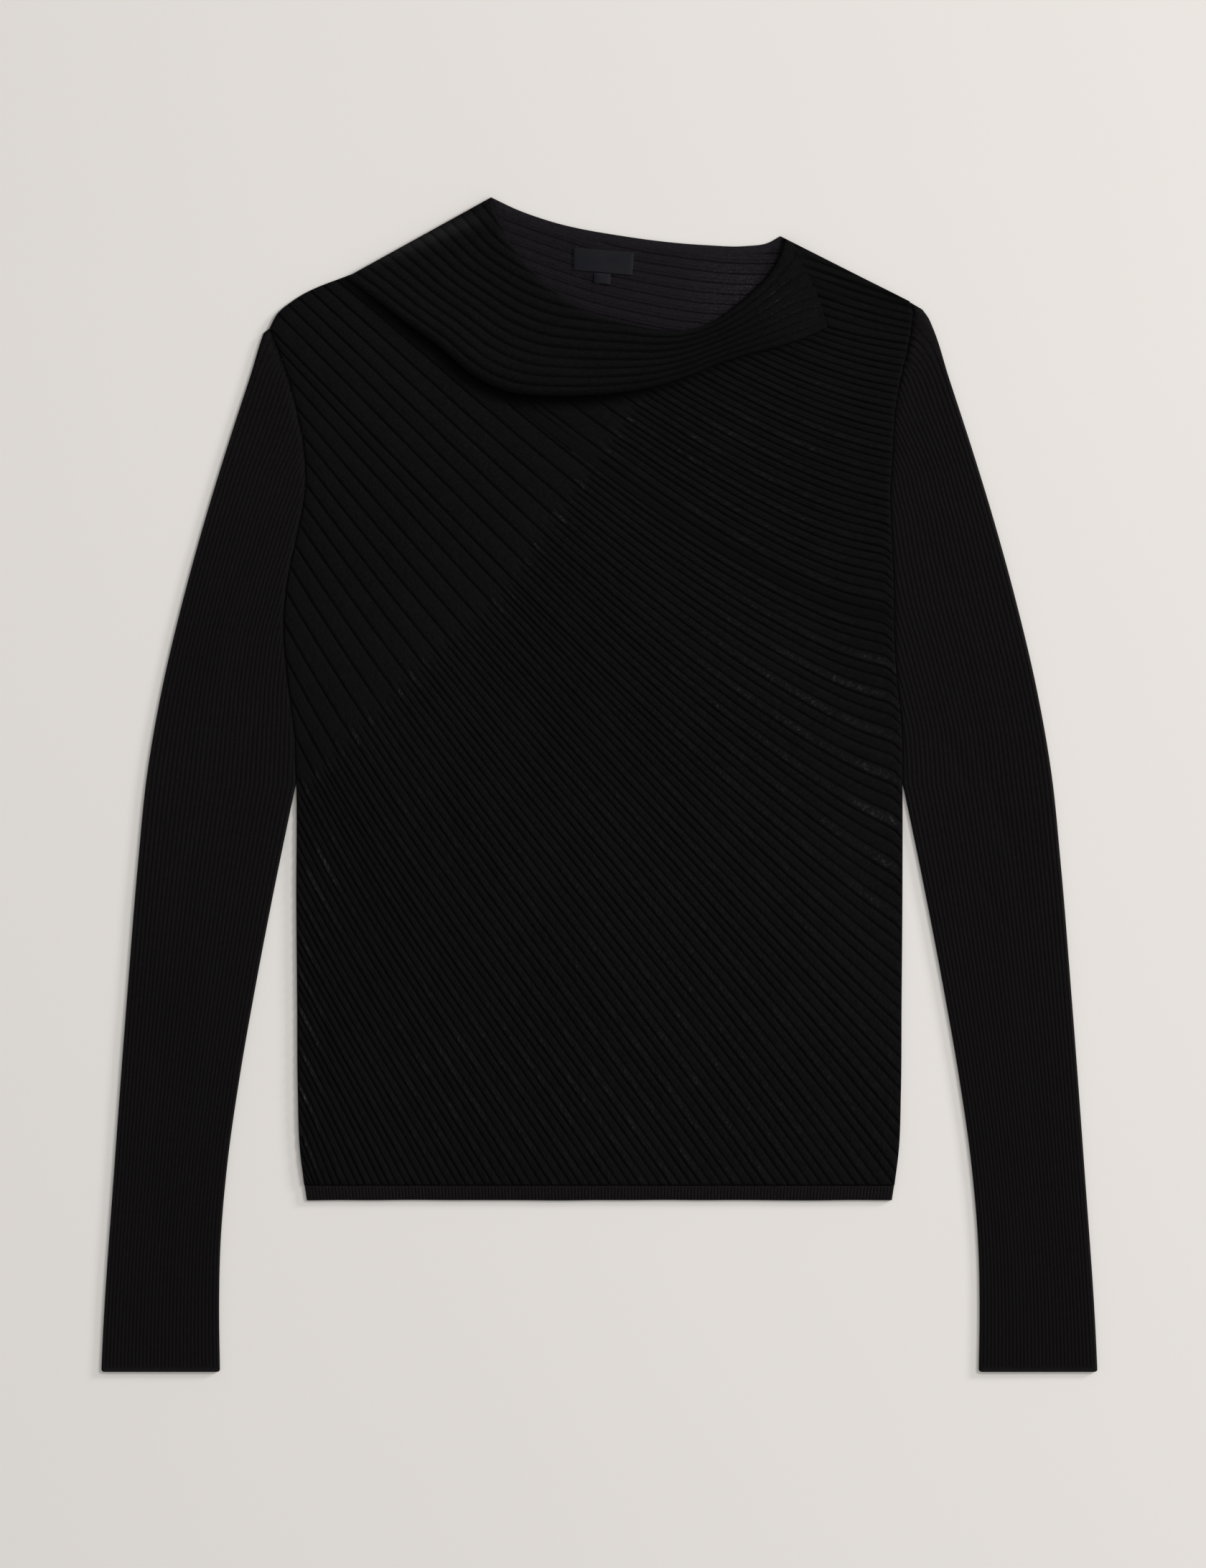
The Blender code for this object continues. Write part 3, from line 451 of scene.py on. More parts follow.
def ripple(x: np.ndarray, y: np.ndarray, pitch: float, seed: float) -> np.ndarray:
    """Slow, uneven waves between -1 and 1, the same on each run.

    Args:
        x: Places across.
        y: Places along.
        pitch: The longest wave's length.
        seed: A number that sets the waves apart from those of other pieces.

    Returns:
        The waves' heights.
    """
    total = np.zeros(np.broadcast(x, y).shape)
    for k in range(5):
        turn = seed * 1.7 + k * 2.4
        rate = 2.0 * math.pi / pitch * (1.0 + 0.62 * k)
        along = x * math.cos(turn) + y * math.sin(turn)
        total = total + np.sin(rate * along + seed * 3.1 + k) / (1 + k)
    return total / 2.2


def crease_heights(x: np.ndarray, y: np.ndarray, table: tuple) -> np.ndarray:
    """Adds up the soft troughs and ridges of a table at each place.

    Args:
        x: Places across.
        y: Places along.
        table: Rows with CREASE_COLUMNS.

    Returns:
        The heights, in millimetres.
    """
    total = np.zeros(np.broadcast(x, y).shape)
    for row in table:
        crease = dict(zip(CREASE_COLUMNS, row))
        turn = math.radians(crease["turn"])
        along = (x - crease["x"]) * math.cos(turn) + (y - crease["y"]) * math.sin(turn)
        bend = 0.12 * crease["width"] * np.sin(along / crease["length"] * 4.0 + crease["x"])
        across = (y - crease["y"]) * math.cos(turn) - (x - crease["x"]) * math.sin(turn) + bend
        fade = bell(along, 0.5 * crease["length"])
        total = total + crease["height"] * fade * bell(across, 0.5 * crease["width"])
    return total


class Edge:
    """A panel's edge, read by the distance along it, with its corners kept."""

    def __init__(self, *stretches: np.ndarray) -> None:
        """Joins the stretches end to end.

        Args:
            stretches: Lines of points, each starting where the last one ends.
        """
        joined = [np.asarray(stretches[0], float)]
        for stretch in stretches[1:]:
            joined.append(np.asarray(stretch, float)[1:])
        self.points = np.concatenate(joined)
        self.along = distances_along(self.points)
        ends = np.cumsum([len(part) for part in joined]) - 1
        self.corners = self.along[ends[:-1]]

    def at(self, distance: np.ndarray) -> np.ndarray:
        """The points at the given distances."""
        x = np.interp(distance, self.along, self.points[:, 0])
        y = np.interp(distance, self.along, self.points[:, 1])
        return np.stack([x, y], axis=-1)

    def snapped(self, distance: np.ndarray) -> np.ndarray:
        """The distances, with the one nearest each corner moved onto it."""
        distance = np.array(distance, float)
        for corner in self.corners:
            distance[np.argmin(np.abs(distance - corner))] = corner
        return distance


@dataclass
class ClothMesh:
    """Gathers points, faces and UVs for one closed shell of cloth, in millimetres."""

    points: list = field(default_factory=list)
    faces: list = field(default_factory=list)
    uvs: list = field(default_factory=list)
    marks: list = field(default_factory=list)
    least_step: float = 0.01

    def add_grid(
        self, grid: np.ndarray, uv: np.ndarray, marks: np.ndarray, closed: bool = False
    ) -> np.ndarray:
        """Adds a grid of points with a face in each cell.

        Args:
            grid: Rows of points.
            uv: The UV of each point.
            marks: Each point's rubbed wear with painted sheen, its see-through stitches with painted
                glints, and its painted shade.
            closed: Whether the last row joins the first.

        Returns:
            The points' numbers, in rows.
        """
        rows, across = grid.shape[:2]
        first = len(self.points)
        self.points.extend(grid.reshape(-1, 3).tolist())
        self.marks.extend(marks.reshape(-1, 3).tolist())
        numbers = first + np.arange(rows * across).reshape(rows, across)
        flat_uv = uv.reshape(-1, 2)
        last = rows if closed else rows - 1
        for i in range(last):
            k = (i + 1) % rows
            for j in range(across - 1):
                corners = (
                    (i, j, i * across + j),
                    (k, j, k * across + j),
                    (k, j + 1, k * across + j + 1),
                    (i, j + 1, i * across + j + 1),
                )
                self.faces.append([int(numbers[a, b]) for a, b, _ in corners])
                self.uvs.append([flat_uv[c] for _, _, c in corners])
        return numbers

    def add_points(self, points: np.ndarray, marks: tuple = SIDE_MARKS) -> list[int]:
        """Adds loose points.

        Args:
            points: The points.
            marks: The same wear and painted sheen, painted glints and painted shade for them all.

        Returns:
            The points' numbers.
        """
        first = len(self.points)
        self.points.extend(np.asarray(points, float).tolist())
        self.marks.extend([marks] * len(points))
        return [first + k for k in range(len(points))]

    def add_face(self, corners: list[int], uv: list) -> None:
        """Adds one face with a UV for each corner."""
        self.faces.append([int(k) for k in corners])
        self.uvs.append(list(uv))

    def close_end(self, ring: np.ndarray) -> None:
        """Closes an open end with one face."""
        self.add_face(ring, [(0.0, 0.0)] * len(ring))

    def join_rings(self, rings: list, uv: Callable[[int, int], tuple]) -> None:
        """Joins each closed ring of points to the next with faces.

        Args:
            rings: The rings' point numbers, all in the same order.
            uv: Gives a corner's UV from the face's place in the ring and the point's number.
        """
        count = len(rings[0])
        for near, far in zip(rings, rings[1:]):
            for k in range(count):
                n = (k + 1) % count
                corners = (near[k], near[n], far[n], far[k])
                self.add_face(corners, [uv(k, c) for c in corners])

    def flat_uv(self, number: int) -> tuple[float, float]:
        """A point's UV from its X and Y, where no ribs count the stitches."""
        return self.points[number][0] * MM, self.points[number][1] / FLAT_WALE

    def fill(self, loop: list[int], inner: np.ndarray | None = None) -> None:
        """Fills a closed loop with triangles, with UVs from X and Y.

        Args:
            loop: The loop's point numbers, in order.
            inner: More points inside the loop, if any.
        """
        flat = [Vector(self.points[k][:2]) for k in loop]
        corners = list(loop)
        if inner is not None:
            flat += [Vector(p[:2]) for p in inner]
            corners += self.add_points(inner)
        edges = [(k, (k + 1) % len(loop)) for k in range(len(loop))]
        out = delaunay_2d_cdt(flat, edges, [], 1, LEAST)
        for face in out[2]:
            picked = [corners[out[3][k][0]] for k in face]
            self.add_face(picked, [self.flat_uv(k) for k in picked])

    def close_below(self, rim: list[int], floor: float, inset: float) -> None:
        """Closes a shell with a side wall and a flat underside.

        Args:
            rim: The top's outer points, in order.
            floor: The underside's height.
            inset: How far the underside stands in from the rim.
        """
        flat = np.array([self.points[k][:2] for k in rim])
        apart = np.hypot(*(flat - np.roll(flat, 1, axis=0)).T) > self.least_step
        rim = [k for k, keep in zip(rim, apart) if keep]
        flat = flat[apart]
        before = np.roll(flat, 1, axis=0)
        turn = np.roll(flat, -1, axis=0) - before
        area = np.sum(before[:, 0] * flat[:, 1] - flat[:, 0] * before[:, 1])
        inward = np.stack([-turn[:, 1], turn[:, 0]], axis=1) * np.sign(area)
        length = np.maximum(np.hypot(*inward.T), LEAST)[:, None]
        middle = np.array([self.points[k][2] for k in rim])
        side = np.column_stack([flat, (floor + middle) / 2.0])
        under = np.column_stack([flat + inward / length * inset, np.full(len(flat), floor)])
        rings = [rim, self.add_points(side), self.add_points(under)]
        self.join_rings(rings, lambda _, number: self.flat_uv(number))
        self.fill(rings[-1])

    def to_object(self, name: str) -> bpy.types.Object:
        """Makes a Blender object of the shell: welded, closed, smooth and facing outwards.

        Args:
            name: The object's name.

        Returns:
            The new object, at the origin.
        """
        mesh = bpy.data.meshes.new(name)
        points = (np.array(self.points) * MM).tolist()
        mesh.from_pydata(points, [], self.faces)
        layer = mesh.uv_layers.new(name=STITCH_MAP)
        flat = np.array([p for face in self.uvs for p in face], dtype=np.float32)
        layer.data.foreach_set("uv", flat.ravel())
        shade = mesh.attributes.new(MARKS, "FLOAT_COLOR", "POINT")
        marks = np.ones((len(self.points), 4), dtype=np.float32)
        marks[:, :3] = self.marks
        shade.data.foreach_set("color", marks.ravel())
        shape = bmesh.new()
        shape.from_mesh(mesh)
        bmesh.ops.remove_doubles(shape, verts=shape.verts, dist=WELD_M)
        bmesh.ops.dissolve_degenerate(shape, edges=shape.edges, dist=LEAST)
        bmesh.ops.holes_fill(shape, edges=shape.edges, sides=0)
        bmesh.ops.recalc_face_normals(shape, faces=shape.faces)
        if shape.calc_volume(signed=True) < 0.0:
            bmesh.ops.reverse_faces(shape, faces=shape.faces)
        shape.to_mesh(mesh)
        shape.free()
        mesh.shade_smooth()
        thing = bpy.data.objects.new(name, mesh)
        bpy.context.scene.collection.objects.link(thing)
        return thing


class NodeTree:
    """A short way to add and join shader nodes."""

    def __init__(self, tree: bpy.types.NodeTree) -> None:
        """Keeps the tree that nodes are added to."""
        self.tree = tree

    def add(self, kind: str, **values: object) -> bpy.types.Node:
        """Adds a node and sets its properties.

        Args:
            kind: The node's type.
            values: Properties to set on the node.

        Returns:
            The node.
        """
        node = self.tree.nodes.new(kind)
        for name, value in values.items():
            setattr(node, name, value)
        return node

    def link(self, source: bpy.types.NodeSocket, target: bpy.types.NodeSocket) -> None:
        """Joins two sockets."""
        self.tree.links.new(source, target)

    def give(self, socket: bpy.types.NodeSocket, term: object) -> None:
        """Sets a socket.

        Args:
            socket: The socket.
            term: A socket to link into it, a colour or a number.
        """
        if isinstance(term, bpy.types.NodeSocket):
            self.link(term, socket)
        elif isinstance(term, tuple):
            socket.default_value = (*term, 1.0)
        else:
            socket.default_value = term

    def math(self, operation: str, *terms: object) -> bpy.types.NodeSocket:
        """Adds a Math node.

        Args:
            operation: The node's operation.
            terms: Numbers or sockets, in order.

        Returns:
            The node's output.
        """
        node = self.add("ShaderNodeMath", operation=operation)
        for socket, term in zip(node.inputs, terms):
            self.give(socket, term)
        return node.outputs[0]

    def mix(self, share: object, first: object, second: object) -> bpy.types.NodeSocket:
        """Adds a colour Mix node.

        Args:
            share: A number or socket, 0 for the first colour.
            first: A colour or socket.
            second: A colour or socket.

        Returns:
            The mixed colour.
        """
        node = self.add("ShaderNodeMix", data_type="RGBA")
        for number, term in ((0, share), (6, first), (7, second)):
            self.give(node.inputs[number], term)
        return node.outputs[2]

    def noise(
        self,
        place: bpy.types.NodeSocket,
        scale: object,
        detail: float = 2.0,
        roughness: float = 0.5,
        dimensions: str = "3D",
    ) -> bpy.types.NodeSocket:
        """Adds a Noise node.

        Args:
            place: The coordinates.
            scale: A number or socket.
            detail: How many finer layers it has.
            roughness: How strong the finer layers are.
            dimensions: How many coordinates it reads.

        Returns:
            The noise.
        """
        node = self.add("ShaderNodeTexNoise", noise_dimensions=dimensions)
        terms = {"Vector": place, "Scale": scale, "Detail": detail, "Roughness": roughness}
        for name, term in terms.items():
            self.give(node.inputs[name], term)
        return node.outputs[0]

    def chance(self, along: object, across: object) -> bpy.types.NodeSocket:
        """Adds a chance number for each cell of a flat grid.

        Args:
            along: The cell's place along, cut to a whole number here.
            across: The cell's place across, likewise.

        Returns:
            The number, 0 to 1.
        """
        cell = self.add("ShaderNodeCombineXYZ")
        self.link(self.math("FLOOR", along), cell.inputs[0])
        self.link(self.math("FLOOR", across), cell.inputs[1])
        node = self.add("ShaderNodeTexWhiteNoise", noise_dimensions="2D")
        self.link(cell.outputs[0], node.inputs["Vector"])
        return node.outputs[0]

    def bump(
        self, height: bpy.types.NodeSocket, strength: float, distance_m: float
    ) -> bpy.types.NodeSocket:
        """Adds a Bump node.

        Args:
            height: The relief.
            strength: How strongly it turns the light.
            distance_m: The relief's height in metres.

        Returns:
            The normal.
        """
        node = self.add("ShaderNodeBump")
        terms = {"Height": height, "Strength": strength, "Distance": distance_m}
        for name, term in terms.items():
            self.give(node.inputs[name], term)
        return node.outputs[0]


def new_group(name: str, inputs: tuple, outputs: tuple) -> tuple[NodeTree, object, object]:
    """Starts a shader node group.

    Args:
        name: The group's name.
        inputs: (name, socket type, value) of each input.
        outputs: (name, socket type) of each output.

    Returns:
        The tree, its input node and its output node.
    """
    group = bpy.data.node_groups.new(name, "ShaderNodeTree")
    for label, kind, value in inputs:
        socket = group.interface.new_socket(name=label, in_out="INPUT", socket_type=kind)
        if value is not None:
            socket.default_value = value
    for label, kind in outputs:
        group.interface.new_socket(name=label, in_out="OUTPUT", socket_type=kind)
    nodes = NodeTree(group)
    return nodes, nodes.add("NodeGroupInput"), nodes.add("NodeGroupOutput")


def new_material(name: str, values: dict) -> tuple[bpy.types.Material, NodeTree, bpy.types.Node]:
    """Starts a material.

    Args:
        name: The material's name.
        values: Numbers and colours for the shader's own sockets, by name.

    Returns:
        The material, its nodes and its shader.
    """
    made = bpy.data.materials.new(name)
    made.use_nodes = True
    nodes = NodeTree(made.node_tree)
    shader = made.node_tree.nodes["Principled BSDF"]
    for socket, value in values.items():
        nodes.give(shader.inputs[socket], value)
    return made, nodes, shader


def stitch_group() -> bpy.types.NodeTree:
    """Builds rows of knit stitches, each a small V.

    Returns:
        The group. It reads a UV map in metres along and columns across, and gives the stitches'
        height, a number for each loop, and the dots of pale thread with painted glints in a see-through
        place.
    """
    nodes, given, out = new_group(
        "knit_stitches",
        (
            ("UV", "NodeSocketVector", None),
            ("Stitch", "NodeSocketFloat", 0.00115),
            ("Slant", "NodeSocketFloat", 0.42),
        ),
        (("Height", "NodeSocketFloat"), ("Dots", "NodeSocketFloat"), ("Random", "NodeSocketFloat")),
    )
    uv = given.outputs["UV"]
    parts = nodes.add("ShaderNodeSeparateXYZ")
    nodes.link(uv, parts.inputs[0])
    column = parts.outputs[1]
    off = nodes.math("ABSOLUTE", nodes.math("SUBTRACT", nodes.math("FRACT", column), 0.5))
    along = nodes.math("DIVIDE", parts.outputs[0], given.outputs["Stitch"])
    lean = nodes.math("MULTIPLY", off, nodes.math("MULTIPLY", given.outputs["Slant"], 2.0))
    uneven = nodes.math("SUBTRACT", nodes.noise(uv, 90.0, dimensions="2D"), 0.5)
    phase = nodes.math("ADD", nodes.math("ADD", along, lean), nodes.math("MULTIPLY", uneven, 0.7))
    wave = nodes.math("COSINE", nodes.math("MULTIPLY", phase, 2.0 * math.pi))
    loops = nodes.math("MULTIPLY_ADD", wave, 0.5, 0.5)
    beside = nodes.math("ABSOLUTE", nodes.math("SUBTRACT", nodes.math("MULTIPLY", off, 4.0), 1.0))
    leg = nodes.math("SUBTRACT", 1.0, nodes.math("POWER", beside, 2.0))
    height = nodes.math("MULTIPLY", loops, nodes.math("MULTIPLY_ADD", leg, 0.5, 0.5))
    nodes.link(height, out.inputs["Height"])
    nodes.link(nodes.chance(phase, nodes.math("MULTIPLY", column, 3.0)), out.inputs["Random"])
    spread = nodes.add("ShaderNodeVectorMath", operation="MULTIPLY")
    spread.inputs[1].default_value = (230.0, 1.9, 1.0)
    nodes.link(uv, spread.inputs[0])
    streak = nodes.noise(spread.outputs[0], 1.0, detail=3.0, dimensions="2D")
    run = nodes.math("POWER", nodes.math("MULTIPLY", streak, 1.8), 2.0)
    speck = nodes.chance(nodes.math("MULTIPLY", phase, 2.0), nodes.math("MULTIPLY", column, 5.0))
    dots = nodes.math("MULTIPLY_ADD", nodes.math("POWER", speck, 7.0), 2.0, 0.16)
    nodes.link(nodes.math("MULTIPLY", dots, run), out.inputs["Dots"])
    return nodes.tree


def fuzz_group() -> bpy.types.NodeTree:
    """Builds fine fibres and slow cloudy patches over the cloth.

    Returns:
        The group, on Object coordinates.
    """
    nodes, given, out = new_group(
        "cloth_fuzz",
        (("Fibre Scale", "NodeSocketFloat", 1900.0), ("Cloud Scale", "NodeSocketFloat", 9.0)),
        (("Fibres", "NodeSocketFloat"), ("Clouds", "NodeSocketFloat")),
    )
    place = nodes.add("ShaderNodeTexCoord").outputs["Object"]
    fibres = nodes.noise(place, given.outputs["Fibre Scale"], detail=3.0, roughness=0.7)
    nodes.link(fibres, out.inputs["Fibres"])
    clouds = nodes.noise(place, given.outputs["Cloud Scale"], detail=4.0)
    nodes.link(clouds, out.inputs["Clouds"])
    return nodes.tree


@dataclass(frozen=True)
class KnitFinish:
    """A knitted cloth: its colours, its stitches and how it takes the light."""

    name: str
    thread: tuple[float, float, float]
    # Colour of painted shade: in grooves, at edges and below the cowl's fold. The random grain also darkens
    # towards it.
    groove: tuple[float, float, float]
    # Colour of rubbed, greyish cloth: partly real wear, partly painted sheen.
    wear_and_sheen: tuple[float, float, float]
    # Colour of pale see-through stitches with painted glints on them.
    sheer_and_glint: tuple[float, float, float]
    stitch_m: float = 0.00115
    bump_m: float = 0.00022
    bump_strength: float = 0.85
    # How much paler the lit colour is: a painted highlight on the stitches' crowns, also used for the
    # random clouds and grain.
    lit_times: float = 2.4
    grain: float = 2.2
    roughness: float = 0.78
    sheen: float = 0.012
    sheen_roughness: float = 0.45
    sheen_tint: tuple[float, float, float] = (0.9, 0.88, 0.92)
    specular: float = 0.012

    def material(self, stitches: bpy.types.NodeTree, fuzz: bpy.types.NodeTree) -> bpy.types.Material:
        """Builds the material.

        Args:
            stitches: The stitch group.
            fuzz: The fibre group.

        Returns:
            The material.
        """
        made, nodes, shader = new_material(
            self.name,
            {
                "Roughness": self.roughness,
                "Sheen Weight": self.sheen,
                "Sheen Roughness": self.sheen_roughness,
                "Sheen Tint": self.sheen_tint,
                "Specular IOR Level": self.specular,
            },
        )
        knit = nodes.add("ShaderNodeGroup", node_tree=stitches)
        knit.inputs["Stitch"].default_value = self.stitch_m
        nodes.link(nodes.add("ShaderNodeUVMap", uv_map=STITCH_MAP).outputs[0], knit.inputs["UV"])
        wool = nodes.add("ShaderNodeGroup", node_tree=fuzz)
        # The point colours: wear with painted sheen, painted glints and painted shade.
        marks = nodes.add("ShaderNodeSeparateColor")
        read = nodes.add("ShaderNodeAttribute", attribute_name=MARKS)
        nodes.link(read.outputs["Color"], marks.inputs[0])
        wear_and_sheen, sheer_and_glint, deep = marks.outputs[0], marks.outputs[1], marks.outputs[2]
        colour = self.thread_colour(nodes, knit, wool, deep)
        fibres = nodes.math("MULTIPLY", nodes.math("SUBTRACT", wool.outputs["Fibres"], 0.45), 1.6)
        # Rubbed wear with a painted sheen.
        wear_and_sheen_mix = nodes.math("MULTIPLY", wear_and_sheen, nodes.math("MULTIPLY_ADD", fibres, 1.0, 0.55))
        colour = nodes.mix(wear_and_sheen_mix, colour, self.wear_and_sheen)
        thin = nodes.math("MULTIPLY", sheer_and_glint, knit.outputs["Dots"])
        # Pale see-through stitches with painted glints.
        broken = nodes.math("MULTIPLY", thin, nodes.math("MULTIPLY_ADD", fibres, 1.2, 0.6))
        colour = nodes.mix(broken, colour, self.sheer_and_glint)
        nodes.link(colour, shader.inputs["Base Color"])
        relief = nodes.math("MULTIPLY_ADD", wool.outputs["Fibres"], 0.35, knit.outputs["Height"])
        nodes.link(nodes.bump(relief, self.bump_strength, self.bump_m), shader.inputs["Normal"])
        return made

    def thread_colour(
        self, nodes: NodeTree, knit: bpy.types.Node, wool: bpy.types.Node, deep: bpy.types.NodeSocket
    ) -> bpy.types.NodeSocket:
        """Mixes the sound cloth's colour: stitches with a painted highlight on their crowns, random clouds,
        painted shade in grooves, and grain.

        Args:
            nodes: The material's nodes.
            knit: The stitches.
            wool: The fibres and clouds.
            deep: How deep in painted shade a point lies: in a groove, at an edge or below the cowl's fold.

        Returns:
            The colour.
        """
        bright = tuple(self.lit_times * c for c in self.thread)
        lit = nodes.math("MULTIPLY_ADD", knit.outputs["Random"], 1.2, 0.15)
        colour = nodes.mix(nodes.math("MULTIPLY", knit.outputs["Height"], lit), self.thread, bright)
        clouds = nodes.math("MULTIPLY", nodes.math("SUBTRACT", wool.outputs["Clouds"], 0.35), 0.7)
        colour = nodes.mix(clouds, colour, bright)
        colour = nodes.mix(deep, colour, self.groove)
        grain = nodes.math("SUBTRACT", wool.outputs["Fibres"], 0.5)
        colour = nodes.mix(nodes.math("MULTIPLY", grain, self.grain), colour, bright)
        return nodes.mix(nodes.math("MULTIPLY", grain, -self.grain), colour, self.groove)


@dataclass(frozen=True)
class SatinFinish:
    """The labels' satin: fine threads across, dark and faintly blue."""

    name: str = "label_satin"
    colour: tuple[float, float, float] = (0.0058, 0.0061, 0.0084)
    # The paler colour of the raised threads is a painted sheen, broken up at random.
    light: tuple[float, float, float] = (0.0112, 0.0119, 0.0165)
    roughness: float = 0.42
    specular: float = 0.1
    sheen: float = 0.02
    anisotropy: float = 0.5
    bump_m: float = 0.00008

    def material(self) -> bpy.types.Material:
        """Builds the material."""
        made, nodes, shader = new_material(
            self.name,
            {
                "Roughness": self.roughness,
                "Specular IOR Level": self.specular,
                "Sheen Weight": self.sheen,
                "Anisotropic": self.anisotropy,
            },
        )
        place = nodes.add("ShaderNodeTexCoord").outputs["Object"]
        weave = nodes.add("ShaderNodeTexWave", bands_direction="Y")
        weave.inputs["Scale"].default_value = 900.0
        weave.inputs["Distortion"].default_value = 1.5
        nodes.link(place, weave.inputs["Vector"])
        threads = weave.outputs["Fac"]
        share = nodes.math("MULTIPLY", threads, nodes.noise(place, 60.0))
        nodes.link(nodes.mix(share, self.colour, self.light), shader.inputs["Base Color"])
        nodes.link(nodes.bump(threads, 0.5, self.bump_m), shader.inputs["Normal"])
        return made


@dataclass(frozen=True)
class FloorFinish:
    """The pale, plain floor."""

    name: str = "floor_paper"
    colour: tuple[float, float, float] = (0.738, 0.713, 0.685)
    paler_times: float = 1.02
    roughness: float = 0.9
    specular: float = 0.1

    def material(self) -> bpy.types.Material:
        """Builds the material."""
        made, nodes, shader = new_material(
            self.name, {"Roughness": self.roughness, "Specular IOR Level": self.specular}
        )
        place = nodes.add("ShaderNodeTexCoord").outputs["Object"]
        paler = tuple(min(1.0, self.paler_times * c) for c in self.colour)
        nodes.link(nodes.mix(nodes.noise(place, 3.0), self.colour, paler), shader.inputs["Base Color"])
        return made


SOOT = KnitFinish(
    name="front_knit",
    thread=(0.0035, 0.0033, 0.0036),
    groove=(0.0002, 0.0002, 0.0002),
    wear_and_sheen=(0.035, 0.034, 0.036),
    sheer_and_glint=(0.46, 0.45, 0.45),
    bump_m=0.00017,
)
SLEEVE_BLACK = KnitFinish(
    name="sleeve_knit",
    thread=(0.0048, 0.0043, 0.0047),
    groove=(0.0050, 0.0045, 0.0050),
    wear_and_sheen=(0.040, 0.036, 0.035),
    sheer_and_glint=(0.06, 0.06, 0.06),
    stitch_m=0.0009,
    bump_m=0.00014,
)
INNER_BLACK = KnitFinish(
    name="inner_knit",
    thread=(0.0092, 0.0079, 0.0097),
    groove=(0.0014, 0.0011, 0.0015),
    wear_and_sheen=(0.05, 0.045, 0.05),
    sheer_and_glint=(0.26, 0.25, 0.26),
    stitch_m=0.001,
    bump_m=0.0002,
)
BAND_BLACK = KnitFinish(
    name="band_knit",
    thread=(0.0064, 0.0057, 0.0062),
    groove=(0.0038, 0.0034, 0.0038),
    wear_and_sheen=(0.03, 0.03, 0.03),
    sheer_and_glint=(0.06, 0.06, 0.06),
    stitch_m=0.0011,
    bump_m=0.00014,
)


def rib_relief(place: np.ndarray, unit_mm: np.ndarray, fine: np.ndarray) -> tuple[np.ndarray, np.ndarray]:
    """Height across a rib unit, 0 in the deepest groove and 1 on a rib's crown, and how deep grooves are.

    Args:
        place: Place in the unit, 0 to 1.
        unit_mm: The unit's width at each point.
        fine: 1 where the ribs are fine and 0 where a unit is one broad rib.

    Returns:
        The relief at each point, and the grooves' depth.
    """
    low = np.zeros(place.shape)
    for row in RIB_GROOVES:
        groove = dict(zip(GROOVE_COLUMNS, row))
        off = (place - groove["place"]) * unit_mm
        depth = groove["broad"] + (groove["fine"] - groove["broad"]) * fine
        low = np.maximum(low, depth * groove_depth(off, groove["half_width"]))
    marks = np.array(WALE_PLACES)
    cell = np.clip(np.searchsorted(marks, place, side="right") - 1, 0, len(marks) - 2)
    within = (place - marks[cell]) / (marks[cell + 1] - marks[cell])
    crown_fine = 1.0 - 0.28 * (2.0 * within - 1.0) ** 2
    crown_broad = 1.0 - 0.30 * np.abs(2.0 * place - 1.0) ** 2.5
    crown = crown_broad + (crown_fine - crown_broad) * fine
    return np.clip(crown - low, 0.0, 1.0), np.clip(low, 0.0, 1.0)


def rim_of(numbers: np.ndarray) -> list[int]:
    """The numbers round the outside of a grid, in order."""
    rim = [*numbers[0], *numbers[1:, -1], *numbers[-1, -2::-1], *numbers[-2:0:-1, 0]]
    return [int(k) for k in rim]


def wale_count(units: np.ndarray) -> np.ndarray:
    """Columns of stitches up to each unit number."""
    whole = np.floor(units)
    return 3.0 * whole + np.interp(units - whole, WALE_PLACES, (0.0, 1.0, 2.0, 3.0))


def split_distance(x: np.ndarray, y: np.ndarray) -> np.ndarray:
    """How far below the line between broad and fine ribs a point lies."""
    line = np.array(SPLIT_LINE)
    return np.interp(x, line[:, 0], line[:, 1]) - y


